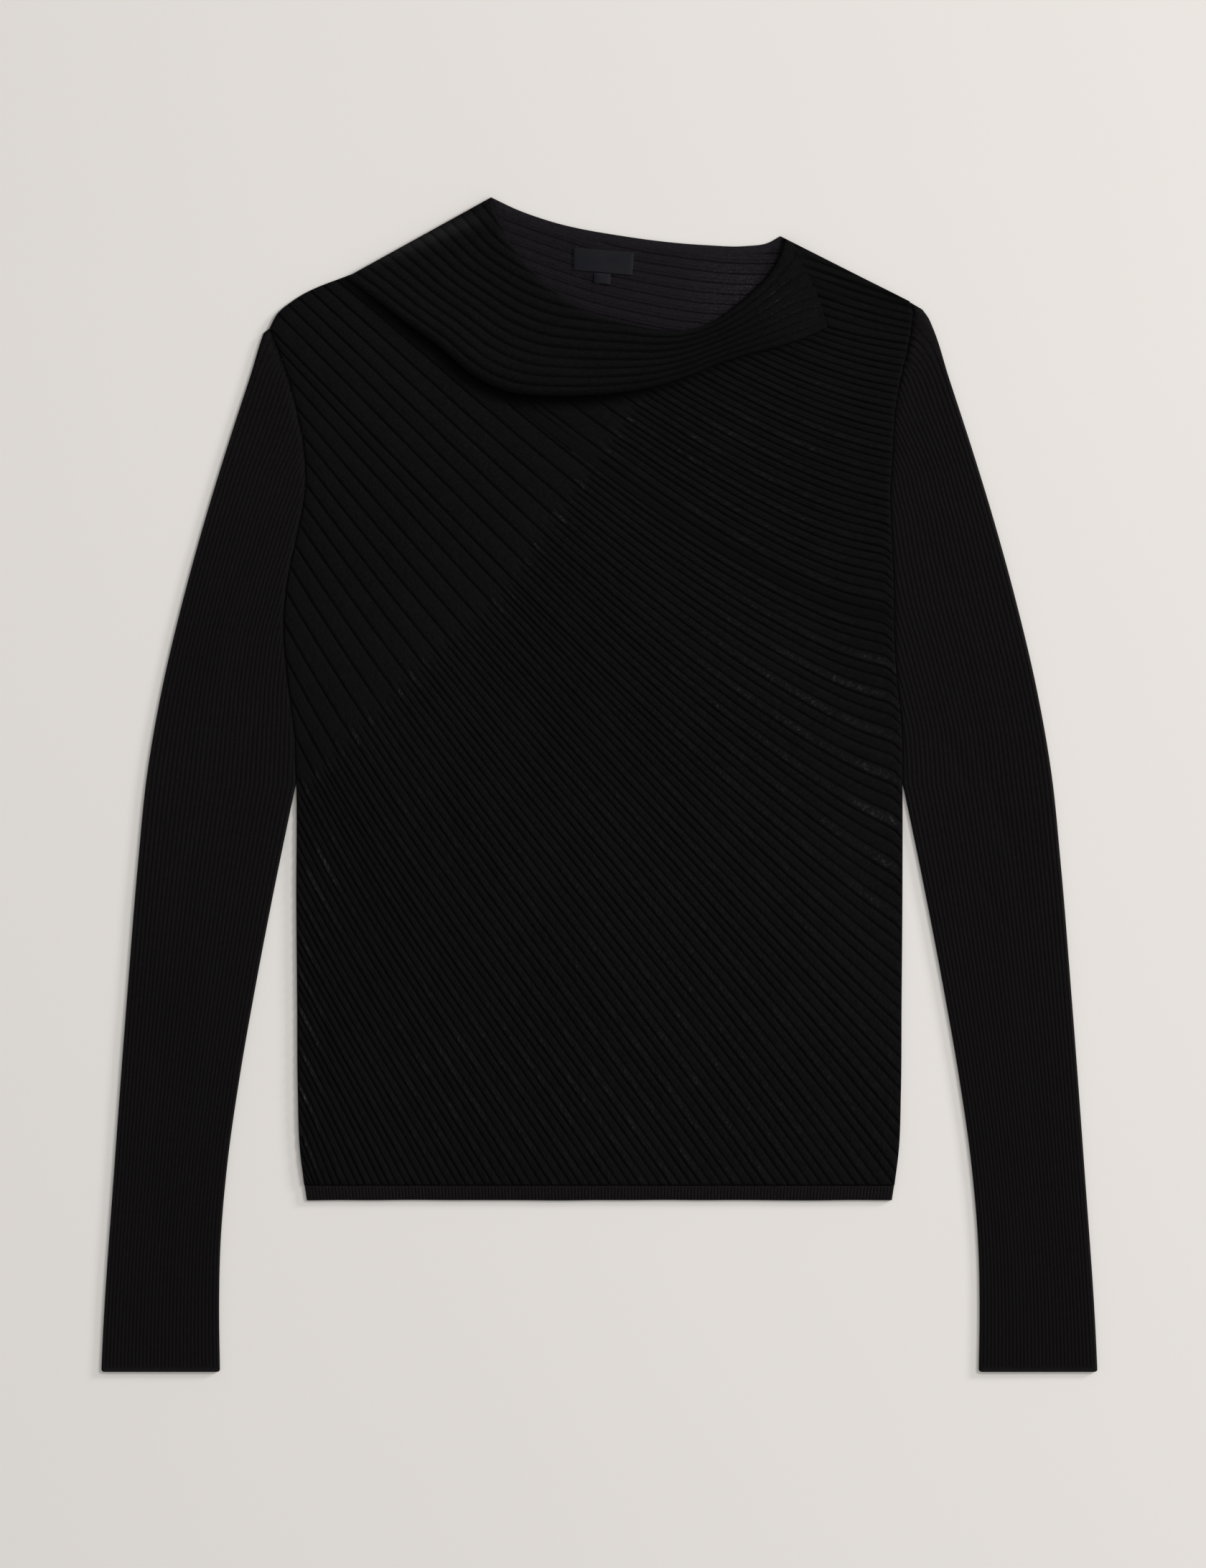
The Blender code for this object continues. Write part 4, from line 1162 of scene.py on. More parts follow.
@dataclass
class FrontPanel:
    """The front: fine ribs that fan slantwise from the left shoulder and side."""

    stations: int = 78
    leaving: tuple[float, ...] = (0.0, 0.25, 0.7, 1.4, 2.4)
    arriving: tuple[float, ...] = (0.0, 0.25, 0.7, 1.4, 2.4, 3.8, 5.4, 7.4, 10.0, 13.5, 18.0)
    last_part: float = 0.8
    end_margin: float = 0.2
    edge_round: float = 2.4
    edge_drop: float = 0.9
    floor: float = BACK_WALL + 0.05
    swell_rise: float = 1.3
    swell_reach: float = 40.0
    swell_low_y: float = 286.0
    seam_shift: float = 0.25
    run_out_unit: float = 2.5
    run_out_steps: int = 8
    least_pitch: float = 6.0
    hook_rise: float = 3.6
    hook_bend: float = 4.2
    hook_reach: float = 26.0
    hook_places: tuple[float, ...] = (-120.0, -60.0, 10.0, 130.0, 175.0)
    hook_shares: tuple[float, ...] = (0.0, 0.6, 1.0, 1.0, 0.0)
    # Painted shadow below the cowl's fold: its strength at places along X.
    fold_shadow_places: tuple[float, ...] = (-156.0, -140.0, -90.0, -10.0, 40.0, 90.0)
    fold_shadow_depths: tuple[float, ...] = (0.3, 0.7, 1.0, 0.9, 0.5, 0.2)

    def edges(self) -> tuple[Edge, Edge]:
        """The edges where the ribs start, upper left, and end, lower right."""
        start = Edge(
            smooth_curve(tuple((x - self.seam_shift, y) for x, y in COWL_END_EDGE)),
            smooth_curve(HIDDEN_EDGE),
            smooth_curve(LEFT_SHOULDER),
            smooth_curve(LEFT_SIDE),
        )
        end = Edge(
            np.array((RIGHT_SHOULDER_TIP, RIGHT_SIDE[0])),
            smooth_curve(RIGHT_SIDE),
            np.array((RIGHT_SIDE[-1], LEFT_SIDE[-1])),
        )
        return start, end

    def reach(self, lengths: np.ndarray) -> np.ndarray:
        """Distances along each rib: close together at both ends and even between."""
        leaving, arriving = np.array(self.leaving), np.array(self.arriving)
        inset = np.minimum(1.0, lengths * 0.1 / leaving[-1])[:, None] * leaving
        final = np.minimum(1.0, lengths * 0.3 / arriving[-1])[:, None] * arriving
        even = np.linspace(0.0, 1.0, self.stations - len(leaving) - len(arriving) + 2)[1:-1]
        first, last = inset[:, -1:], lengths[:, None] - final[:, -1:]
        middle = first + (last - first) * even
        return np.concatenate([inset, middle, lengths[:, None] - final[:, ::-1]], axis=1)

    def lines(self) -> tuple[np.ndarray, np.ndarray, np.ndarray, np.ndarray]:
        """Works out the rib lines.

        Returns:
            The flat grid, the units of its rows, the distances along and the line lengths.
        """
        start, end = self.edges()
        guide = np.array(FRONT_GUIDES)
        last_unit = guide[-1, 0] + self.last_part
        first_end, second_end = start.along[-1] - self.end_margin, end.along[-1] - self.end_margin
        guide = np.vstack([guide, (last_unit, first_end, guide[-1, 2], second_end, guide[-1, 4])])
        units = (np.arange(math.ceil(last_unit))[:, None] + ROW_PLACES).ravel()
        units = np.append(units[units < last_unit - 0.02], last_unit)
        read = columns(read_table(guide[:, 0], guide[:, 1:], units), GUIDE_COLUMNS[1:])
        starts = start.at(start.snapped(read["start"]))
        ends = end.at(end.snapped(read["end"]))
        leave_turn, arrive_turn = np.radians(read["start_slope"]), np.radians(read["end_slope"])
        lengths = np.hypot(*(ends - starts).T)
        reach = self.reach(lengths)
        chord = lengths[:, None]
        leave = np.stack([np.cos(leave_turn), -np.sin(leave_turn)], axis=1) * chord
        arrive = np.stack([np.cos(arrive_turn), -np.sin(arrive_turn)], axis=1) * chord
        t = (reach / chord)[:, :, None]
        grid = hermite(t, starts[:, None], ends[:, None], leave[:, None], arrive[:, None])
        grid[..., 1] += self.hook(ends[:, 1:], chord - reach)
        return grid, units, reach, lengths

    def hook(self, end_y: np.ndarray, left: np.ndarray) -> np.ndarray:
        """How far ribs lie above their plain curves just before they drop into the right side's seam.

        Args:
            end_y: Where each rib ends on the right side.
            left: The distance to the rib's end from each point.

        Returns:
            The rise of each point.
        """
        share = np.interp(end_y, self.hook_places, self.hook_shares)
        return self.hook_rise * share * (1.0 - bell(left, self.hook_bend)) * bell(left, self.hook_reach)

    def phase(self, x: np.ndarray, y: np.ndarray, units: np.ndarray) -> np.ndarray:
        """Unit number at each point: the topmost ribs keep their direction and run out on the shoulder.

        Args:
            x: Places across.
            y: Places along.
            units: Unit number of each row of the grid.

        Returns:
            The unit numbers.
        """
        plain = np.broadcast_to(units[:, None], x.shape)
        low = int(np.argmin(np.abs(units - self.run_out_unit)))
        lower = int(np.argmin(np.abs(units - (self.run_out_unit + 1.0))))
        steps = self.run_out_steps
        first_slope = (y[low][steps] - y[low][0]) / (x[low][steps] - x[low][0])
        line = np.interp(x, x[low], y[low]) + first_slope * np.minimum(x - x[low][0], 0.0)
        pitch = np.maximum(line - np.interp(x, x[lower], y[lower]), self.least_pitch)
        parallel = self.run_out_unit - (y - line) / pitch
        return np.where(plain < units[low], parallel, plain)

    def swell(self, grid: np.ndarray) -> np.ndarray:
        """How far the front swells beside the cowl's right end."""
        line = np.array(COWL_END_EDGE[::-1])
        beyond = grid[..., 0] - np.interp(grid[..., 1], line[:, 1], line[:, 0]) + SEAM_GAP
        share = np.clip(1.0 - beyond / self.swell_reach, 0.0, 1.0) ** 2
        high = np.clip((grid[..., 1] - self.swell_low_y) / (line[-1, 1] - self.swell_low_y), 0.0, 1.0)
        return np.where(beyond > 0.0, self.swell_rise * share * high, 0.0)

    def sheer_and_glint(self, x: np.ndarray, y: np.ndarray, place: np.ndarray) -> np.ndarray:
        """Where single pale stitches show, see-through with painted glints: beside grooves in the patches
        and along the split.

        Args:
            x: Places across.
            y: Places along.
            place: Each point's place in its rib unit.

        Returns:
            The marks, 0 to 1.
        """
        beside = np.exp(-(((place - 0.84) / 0.085) ** 4))
        total = np.zeros(x.shape)
        for patch_x, patch_y, wide, high, strength in SHEER_AND_GLINT_PATCHES:
            total = total + strength * bell(x - patch_x, wide) * bell(y - patch_y, high)
        total = np.where(total > 0.45, 1.4 * total, 0.42 * total)
        total = np.clip(total * (0.7 + 0.5 * ripple(x, y, 34.0, 5.0)), 0.0, 1.0) * beside
        split = 0.07 * bell(split_distance(x, y) - 2.0, 3.4) * beside
        return np.clip(np.maximum(total, split), 0.0, 1.0)

    def painted_fold_shadow(self, x: np.ndarray, y: np.ndarray) -> np.ndarray:
        """Painted shadow in the hollow below the cowl's fold: how dark it is at a point, 0 to 1."""
        fold = smooth_curve(tuple(row[2:4] for row in COWL_SECTIONS))
        away = np.full(x.shape, 99.0)
        for fold_x, fold_y in fold[::3]:
            away = np.minimum(away, np.hypot(x - fold_x, y - fold_y))
        deep = np.interp(x, self.fold_shadow_places, self.fold_shadow_depths)
        return np.minimum(1.0, 1.15 * deep) * np.exp(-((away / (2.2 + 5.6 * deep)) ** 3))

    def unit_widths(self, grid: np.ndarray, units: np.ndarray) -> np.ndarray:
        """Measures the width of a rib unit at each point, square to the ribs.

        Args:
            grid: The flat grid.
            units: Unit number of each row of the grid.

        Returns:
            The widths.
        """
        rising = np.maximum.accumulate(units + 1e-9 * np.arange(len(units)))
        step = np.gradient(grid, rising, axis=0)
        along = np.gradient(grid, axis=1)
        along /= np.maximum(np.linalg.norm(along, axis=2, keepdims=True), LEAST)
        return np.abs(step[..., 0] * along[..., 1] - step[..., 1] * along[..., 0])

    def build(self) -> bpy.types.Object:
        """Builds the front as one closed shell."""
        grid, units, reach, lengths = self.lines()
        x, y = grid[..., 0], grid[..., 1]
        fine = np.clip(split_distance(x, y) / SPLIT_WIDTH + 0.5, 0.0, 1.0)
        place = self.phase(x, y, units) % 1.0
        relief, grooves = rib_relief(place, self.unit_widths(grid, units), fine)
        relief = relief * (0.92 + 0.14 * ripple(x, y, 60.0, 2.0))
        from_edge = np.minimum(reach, lengths[:, None] - reach)
        off = off_line(x, y, COWL_END_EDGE[0], RIGHT_SHOULDER_TIP)
        swell = self.swell(grid)
        beside_cowl = np.clip(swell / self.swell_rise * 1.6, 0.0, 1.0)
        from_edge = np.minimum(from_edge + 4.0 * beside_cowl, off)
        edge = rounding(from_edge, self.edge_round)
        tops = FRONT_FLOOR + FRONT_WALL - self.edge_drop * edge + RIB_HEIGHT * relief * (1.0 - edge)
        soft = crease_heights(x, y, FRONT_CREASES) + 0.14 * ripple(x, y, 120.0, 1.0)
        tops = tops + soft * (1.0 - edge) + swell
        cloth = ClothMesh()
        points = np.concatenate([grid, tops[..., None]], axis=2)
        uv = np.stack([reach * MM, np.broadcast_to(wale_count(units)[:, None], x.shape)], axis=2)
        # Painted shade: in the grooves, at the rounded edges and below the cowl's fold, where it also hides
        # the pale stitches.
        shade = self.painted_fold_shadow(x, y)
        grooves = np.maximum(0.82 * grooves * (0.9 + 0.2 * ripple(x, y, 44.0, 9.0)), 0.3 * edge)
        grooves = np.clip(np.maximum(grooves, shade), 0.0, 1.0)
        marks = np.stack([np.zeros(x.shape), self.sheer_and_glint(x, y, place) * (1.0 - shade), grooves], axis=2)
        numbers = cloth.add_grid(points, uv, marks)
        cloth.close_below(rim_of(numbers), self.floor, 0.0)
        return cloth.to_object("front_knit_panel")


@dataclass
class Cowl:
    """The draped neck: a soft roll whose ribs run along it and leave over the neck edge."""

    rows_per_rib: int = 10
    stations: int = 150
    lift: float = FRONT_FLOOR + FRONT_WALL + 0.95
    wall: float = 1.3
    rib_height: float = 0.85
    groove_half: float = 0.8
    round_width: float = 4.5
    roll_place: float = 10.0
    roll_width: float = 9.0
    flat_share: float = 0.45
    overlap: float = 12.5
    overlap_step: float = 2.5
    end_bend: float = 0.17
    bend_from: float = 0.82
    lap_from: float = 0.84
    merge_from: float = 0.93
    seam_lap: float = 0.8
    # Painted shade that darkens the end wall, which faces the light, beside the front.
    end_shade: float = 0.6
    end_height: float = FRONT_FLOOR + FRONT_WALL + 1.35
    under_wale: float = 4.4
    # Ends of the rubbed streak with painted sheen.
    wear_and_sheen_start: tuple[float, float] = (-137.0, 322.0)
    wear_and_sheen_end: tuple[float, float] = (-82.0, 344.0)

    def build(self) -> bpy.types.Object:
        """Builds the cowl as one closed roll of cloth."""
        spots = np.linspace(0.0, 1.0, len(COWL_SECTIONS))
        ease = np.linspace(0.0, 1.0, self.stations)
        at = columns(read_curve(spots, COWL_SECTIONS, ease), COWL_COLUMNS)
        neck = np.stack([at["neck_x"], at["neck_y"]], axis=1)
        fold = np.stack([at["fold_x"], at["fold_y"]], axis=1)
        width = np.hypot(*(neck - fold).T)
        most = COWL_SECTIONS[0][4]
        rows = np.linspace(0.0, most, int(most * self.rows_per_rib) + 1)
        share = np.clip(rows[:, None] / at["ribs"], 0.0, 1.0)
        share[-1] = 1.0
        bend = self.end_bend * ramp(ease, self.bend_from, 1.0) ** 2
        share = share - bend * 4.0 * share * (1.0 - share)
        distance = share * width
        from_neck = (1.0 - share) * width
        edge = rounding(np.minimum(distance, from_neck), self.round_width)
        edge = np.maximum(edge, rounding(ease * 300.0, 5.0) * np.ones(share.shape))
        ribs = np.minimum(rows[:, None], at["ribs"])
        groove = groove_depth(from_whole(ribs) * width / at["ribs"], self.groove_half)
        fade = np.clip(np.maximum((1.0 - ease) / 0.25, (ease - 0.9) / 0.1), 0.35, 1.0)
        crown = 0.86 + 0.14 * np.cos(2 * np.pi * (ribs + 0.5))
        relief = np.clip(crown - groove * (0.45 + 0.55 * fade), 0.0, 1.0)
        roll = bell(distance - self.roll_place, self.roll_width)
        grid = fold + (neck - fold) * share[..., None]
        seam = smooth_curve(COWL_END_EDGE)[::-1]
        bulge = np.interp(grid[:, -1, 1], seam[:, 1], seam[:, 0]) + self.seam_lap - grid[:, -1, 0]
        grid[..., 0] += np.maximum(bulge, 0.0)[:, None] * ramp(ease, self.lap_from, 1.0) ** 2
        x, y = grid[..., 0], grid[..., 1]
        rise = at["rise"] * (self.flat_share + (1.0 - self.flat_share) * roll)
        rise = rise + crease_heights(x, y, COWL_CREASES) + 0.15 * ripple(x, y, 70.0, 4.0)
        top = self.lift + self.wall + rise + self.rib_height * relief * fade
        merge = ramp(ease, self.merge_from, 1.0)
        merge = merge * merge * (3.0 - 2.0 * merge)
        top = top + (self.end_height + self.rib_height * (0.78 + 0.22 * relief) - top) * merge
        middle = self.lift + 0.6 * self.wall
        tops = top - (top - middle) * edge * (1.0 - 0.6 * merge)
        cloth = ClothMesh()
        under = (
            (self.overlap + self.overlap_step, FRONT_FLOOR),
            (self.overlap, self.lift),
            (5.0, self.lift),
            (1.6, self.lift + 0.05),
            (0.4, self.lift + 0.35),
        )
        lower = []
        for reach, height in under:
            flat = fold + (neck - fold) * np.minimum(reach / width, 0.98)[:, None]
            lower.append(np.column_stack([flat, np.full(self.stations, height)]))
        base = np.column_stack([grid[-1], np.full(self.stations, FRONT_FLOOR)])
        upper = np.concatenate([grid, tops[..., None]], axis=2)
        loops = np.concatenate([np.array(lower), upper, base[None]], axis=0)
        run = distances_along(fold * 0.5 + neck * 0.5) * MM
        wales = np.concatenate([-np.array([r for r, _ in under]) / self.under_wale, rows, [most + 1.0]])
        uv = np.stack(np.broadcast_arrays(run[None, :], 2.0 * wales[:, None]), axis=2)
        shade = np.zeros(loops.shape)
        first = len(under)
        last = first + len(rows)
        # Painted shade in the grooves, the rubbed streak with painted sheen, pale stitches with painted
        # glints, and painted shade on the end wall.
        shade[first:last, :, 2] = np.clip(groove * (0.3 + 0.3 * fade) * (1.0 - 0.6 * merge), 0.0, 1.0)
        shade[first:last, :, 0] = self.wear_and_sheen(x, y)
        shade[first:last, :, 1] = self.sheer_and_glint(x, y, ribs)
        shade[:, -1, 2] = np.maximum(shade[:, -1, 2], self.end_shade)
        numbers = cloth.add_grid(loops, uv, shade, closed=True)
        cloth.close_end(numbers[:, 0])
        cloth.close_end(numbers[:, -1])
        return cloth.to_object("cowl_knit")

    def wear_and_sheen(self, x: np.ndarray, y: np.ndarray) -> np.ndarray:
        """The greyish streak along the left shoulder edge: rubbed fuzz with a painted sheen."""
        start, run = self.wear_and_sheen_start, np.subtract(self.wear_and_sheen_end, self.wear_and_sheen_start)
        along = ((x - start[0]) * run[0] + (y - start[1]) * run[1]) / np.dot(run, run)
        off = off_line(x, y, self.wear_and_sheen_start, self.wear_and_sheen_end)
        return 0.4 * bell(off, 4.5) * np.exp(-(((along - 0.5) / 0.62) ** 4))

    def sheer_and_glint(self, x: np.ndarray, y: np.ndarray, ribs: np.ndarray) -> np.ndarray:
        """Pale single stitches near the right end, see-through with painted glints."""
        return 0.045 * bell(x - 112.0, 20.0) * bell(y - 293.0, 16.0) * bell(ribs % 1.0 - 0.12, 0.09)


@dataclass
class BackPanel:
    """The back: its inside shows in the neck opening, with ribs below a plain turned edge."""

    rib_pitch: float = 6.4
    rib_slope: float = -0.08
    rib_bend: float = 0.0013
    flat_x: float = 73.0
    rib_height: float = 0.5
    edge_width: float = 5.2
    groove_half: float = 0.65
    grooves: tuple = ((0.0, 1.0), (0.34, 0.6), (0.67, 0.35), (1.0, 1.0))
    wall: float = BACK_WALL
    grid_step: float = 0.55
    grid_run: float = 1.6
    grid_x: tuple[float, float] = (-64.0, 112.0)
    grid_y: tuple[float, float] = (270.0, 356.0)
    grid_slope: float = -0.03

    def outline(self) -> np.ndarray:
        """The back's outline, round from the left neck point."""
        neck = smooth_curve(BACK_NECK, 1.2)
        right = smooth_curve(RIGHT_SIDE, 4.0)
        left = smooth_curve(LEFT_SIDE, 4.0)[::-1]
        shoulder = smooth_curve(LEFT_SHOULDER, 4.0)[::-1]
        return np.concatenate([neck, [RIGHT_SHOULDER_TIP], right, left, shoulder[1:]])

    def relief(self, x: np.ndarray, y: np.ndarray) -> np.ndarray:
        """Rib relief in the neck opening, 0 to 1."""
        line = self.rib_slope * (x - self.flat_x) + self.rib_bend * (x - self.flat_x) ** 2
        phase = (y - line) / self.rib_pitch + 0.07 * ripple(x, y, 60.0, 7.0)
        low = np.zeros(phase.shape)
        for place, depth in self.grooves:
            off = (phase % 1.0 - place) * self.rib_pitch
            low = np.maximum(low, depth * groove_depth(off, self.groove_half))
        return 1.0 - low

    def inner_points(self, neck: np.ndarray) -> np.ndarray:
        """Sets rows of points where the inside shows, and a little way below the cowl.

        Args:
            neck: The back neck's curve.

        Returns:
            The points.
        """
        window = smooth_curve(tuple(row[0:2] for row in COWL_SECTIONS), 1.0)
        xs = np.arange(*self.grid_x, self.grid_run)
        rows = []
        for k in range(int((self.grid_y[1] - self.grid_y[0]) / self.grid_step)):
            y = self.grid_y[0] + k * self.grid_step + self.grid_slope * (xs - 50.0)
            high = np.interp(xs, neck[:, 0], neck[:, 1]) - 0.8
            low = np.interp(xs, window[:, 0], window[:, 1]) - 14.0
            keep = (y < high) & (y > np.minimum(low, high - 1.0))
            rows.append(np.column_stack([xs[keep], y[keep]]))
        return np.concatenate(rows)

    def build(self) -> bpy.types.Object:
        """Builds the back as one closed, flat shell."""
        cloth = ClothMesh()
        outline = self.outline()
        neck = smooth_curve(BACK_NECK, 1.0)
        inner = self.inner_points(neck)
        x, y = inner[:, 0], inner[:, 1]
        below = np.interp(x, neck[:, 0], neck[:, 1]) - y
        band = ramp(below, self.edge_width, self.edge_width + 0.8)
        relief = self.relief(x, y)
        line = bell(below - self.edge_width - 0.4, 0.7)
        height = self.wall + self.rib_height * relief * band + (1.0 - band) * 0.5 - 0.3 * line
        height = height - 0.5 * rounding(below, 1.6)
        # Painted glints in a patch of the inside.
        sparkle = 0.075 * bell(x - 86.0, 28.0) * bell(y - 304.0, 24.0) * (relief > 0.35)
        points = np.column_stack([inner, height])
        rim = cloth.add_points(np.column_stack([outline, np.full(len(outline), self.wall)]))
        first = len(cloth.points)
        cloth.fill(rim, points)
        # Marks: the painted glints, and painted shade in the ribs' grooves.
        shade = np.stack([np.zeros(len(x)), sparkle, (1.0 - relief) * band * 0.9], axis=1)
        cloth.marks[first : first + len(points)] = shade.tolist()
        cloth.close_below(rim, 0.0, 0.3)
        return cloth.to_object("back_knit_panel")


def sleeve_edges(curve: np.ndarray, y: np.ndarray, lifted: np.ndarray) -> tuple[np.ndarray, np.ndarray]:
    """Outer and inner distance from the middle of a sleeve at each height.

    Args:
        curve: The body's outline on that side.
        y: The heights at the outer edge.
        lifted: The heights at the inner edge.

    Returns:
        The outer and the inner distances.
    """
    outer = smooth_curve(SLEEVE_OUTER)[::-1]
    inner = smooth_curve(SLEEVE_INNER)[::-1]
    order = np.argsort(curve[:, 1])
    beside = np.abs(np.interp(lifted, curve[order, 1], curve[order, 0])) + 0.08
    below = np.interp(y, inner[:, 1], inner[:, 0])
    return np.interp(y, outer[:, 1], outer[:, 0]), np.where(y > SLEEVE_INNER[0][1], beside, below)


@dataclass
class Sleeve:
    """A sleeve: a flattened tube with lengthwise ribs and a thin plain edge at the cuff."""

    hand: Hand
    side: np.ndarray
    cap_y: float
    cap_lift: float
    rows_per_rib: int = 7
    stations: int = 150
    ribs: int = 32
    under_rows: int = 24
    top: float = 2.35
    middle: float = 1.2
    rib_height: float = 0.5
    groove_half: float = 0.55
    edge_round: float = 2.6
    cuff_y: float = -359.7
    cuff_edge: float = 2.8
    # Below this height the sleeve's edges get a painted sheen.
    sheen_below_y: float = 240.0

    def levels(self) -> np.ndarray:
        """Heights at which the sleeve is cut, close together at the cap and the cuff."""
        cap = self.cap_y - np.array((0.0, 0.5, 1.2, 2.2, 3.6, 5.4, 7.6))
        cuff = self.cuff_y + np.array((3.4, 2.8, 2.2, 1.2, 0.5, 0.0))
        middle = np.linspace(cap[-1], cuff[0], self.stations)[1:-1]
        return np.concatenate([cap, middle, cuff])

    def rib_counts(self, y: np.ndarray) -> np.ndarray:
        """Counts the ribs that the sleeve shows.

        Args:
            y: The heights.

        Returns:
            The number of ribs at each height.
        """
        counts = columns(np.array(SLEEVE_RIB_COUNTS), SLEEVE_RIB_COLUMNS)
        grown = counts["ribs"] - np.interp(-self.cap_y, -counts["y"], counts["ribs"])
        shown = grown > 0.0
        knots_y = np.concatenate([[self.cap_y], counts["y"][shown]])
        knots_n = np.concatenate([[0.0], grown[shown] * self.ribs / grown[-1]])
        return np.interp(-y, -knots_y, knots_n)

    def build(self) -> bpy.types.Object:
        """Builds the sleeve with its opening at the cuff."""
        y = self.levels()
        lift = self.cap_lift * bell(self.cap_y - y, 7.0)
        outer, inner = sleeve_edges(self.side, y, y + lift)
        pull = 0.8 * rounding(y - self.cuff_y, 1.3)
        outer, inner = outer - pull, inner + pull
        width = outer - inner
        present = self.rib_counts(y)
        marks = np.linspace(0.0, self.ribs, self.ribs * self.rows_per_rib + 1)[:, None]
        share = np.clip(marks / np.maximum(present, LEAST), 0.0, 1.0)
        share[-1] = 1.0
        x = outer - width * share
        across = y + lift * share
        from_side = np.minimum(np.minimum(share, 1.0 - share) * width, self.cap_y - y + 0.4)
        edge = rounding(from_side, self.edge_round)
        pitch = width / np.maximum(present, 1.0)
        groove = groove_depth(from_whole(marks) * pitch, self.groove_half)
        cuff = np.clip((y - self.cuff_y - self.cuff_edge) / 0.6, 0.0, 1.0)
        relief = np.clip(1.0 - groove - 0.1, 0.0, 1.0) * cuff + (1.0 - cuff) * 0.55
        lip = np.clip(1.0 - (y - self.cuff_y) / 0.8, 0.0, 1.0)
        soft = 0.16 * ripple(x, across, 90.0, 3.0 + self.hand.value)
        soft = soft + crease_heights(x, across, SLEEVE_CREASES[self.hand])
        height = self.top + self.rib_height * relief + soft - 0.25 * lip
        tops = self.middle + (height - self.middle) * (1.0 - edge)
        cloth = ClothMesh()
        upper = np.stack([self.hand.value * x, across, tops], axis=2)
        part = 0.5 - 0.5 * np.cos(np.linspace(0.0, math.pi, self.under_rows + 2))[1:-1][:, None]
        low_x = inner + width * part
        from_low = np.minimum(part, 1.0 - part) * width
        low_z = self.middle * rounding(from_low, 1.6)
        lower = np.stack([self.hand.value * low_x, y + lift * (1.0 - part), low_z], axis=2)
        loops = np.concatenate([upper, lower], axis=0)
        low_marks = self.ribs * (2.0 - part)
        rows = np.concatenate([np.broadcast_to(marks, x.shape), np.broadcast_to(low_marks, low_x.shape)])
        uv = np.stack([np.broadcast_to(-y * MM, rows.shape), rows], axis=2)
        shade = np.zeros(loops.shape)
        # Painted shade in the grooves; the sleeve's edges and the cuff's lip are lighter with painted
        # sheen.
        shade[: len(marks), :, 2] = (1.0 - relief) * (1.0 - 0.8 * lip)
        rim = bell(share * width, 1.4) + 0.5 * bell((1.0 - share) * width, 1.2)
        wear_and_sheen = np.maximum(0.26 * rim * (y < self.sheen_below_y), 0.3 * bell(y - self.cuff_y, 1.5))
        shade[: len(marks), :, 0] = wear_and_sheen
        numbers = cloth.add_grid(loops, uv, shade, closed=True)
        cloth.close_end(numbers[:, 0])
        self.line_inside(cloth, loops, [int(k) for k in numbers[:, -1]])
        name = "sleeve_knit_left" if self.hand is Hand.LEFT else "sleeve_knit_right"
        return cloth.to_object(name)

    def line_inside(self, cloth: ClothMesh, loops: np.ndarray, numbers: list[int]) -> None:
        """Turns the cuff's edge in and runs the tube's inner side up to the cap.

        Args:
            cloth: The sleeve's shell.
            loops: The outer side's points: round the tube, then along it.
            numbers: The numbers of the cuff's points.
        """
        rings = [numbers]
        last = loops.shape[1] - 1
        stops = [last, last - 4, last - 7, *range(last - 24, 8, -16), 5]
        for stop, inward in zip([last, last, *stops], (0.45, 0.95, *[1.15] * len(stops))):
            ring = loops[:, stop]
            centre = ring[:, 0].mean()
            half = np.abs(ring[:, 0] - centre).max()
            inner = ring.copy()
            inner[:, 0] = centre + (ring[:, 0] - centre) * (half - inward) / half
            share = 0.62 if inward > 0.9 else 0.85
            side = 1.0 - np.clip((half - np.abs(ring[:, 0] - centre)) / 2.5, 0.0, 1.0)
            deep = np.clip((ring[:, 2] - self.middle) * share, -0.5, 0.42)
            inner[:, 2] = self.middle - 0.1 + deep * (1.0 - 0.6 * side)
            if inward < 0.9:
                inner[:, 2] = self.middle + (ring[:, 2] - self.middle) * share
                inner[:, 1] = ring[:, 1] - 0.25
            # The inner side is marked deep in painted shade.
            rings.append(cloth.add_points(inner, (0.0, 0.0, 0.9)))
        cloth.join_rings(rings, lambda k, number: (-cloth.points[number][1] * MM, k / self.rows_per_rib))
        cloth.close_end(rings[-1])


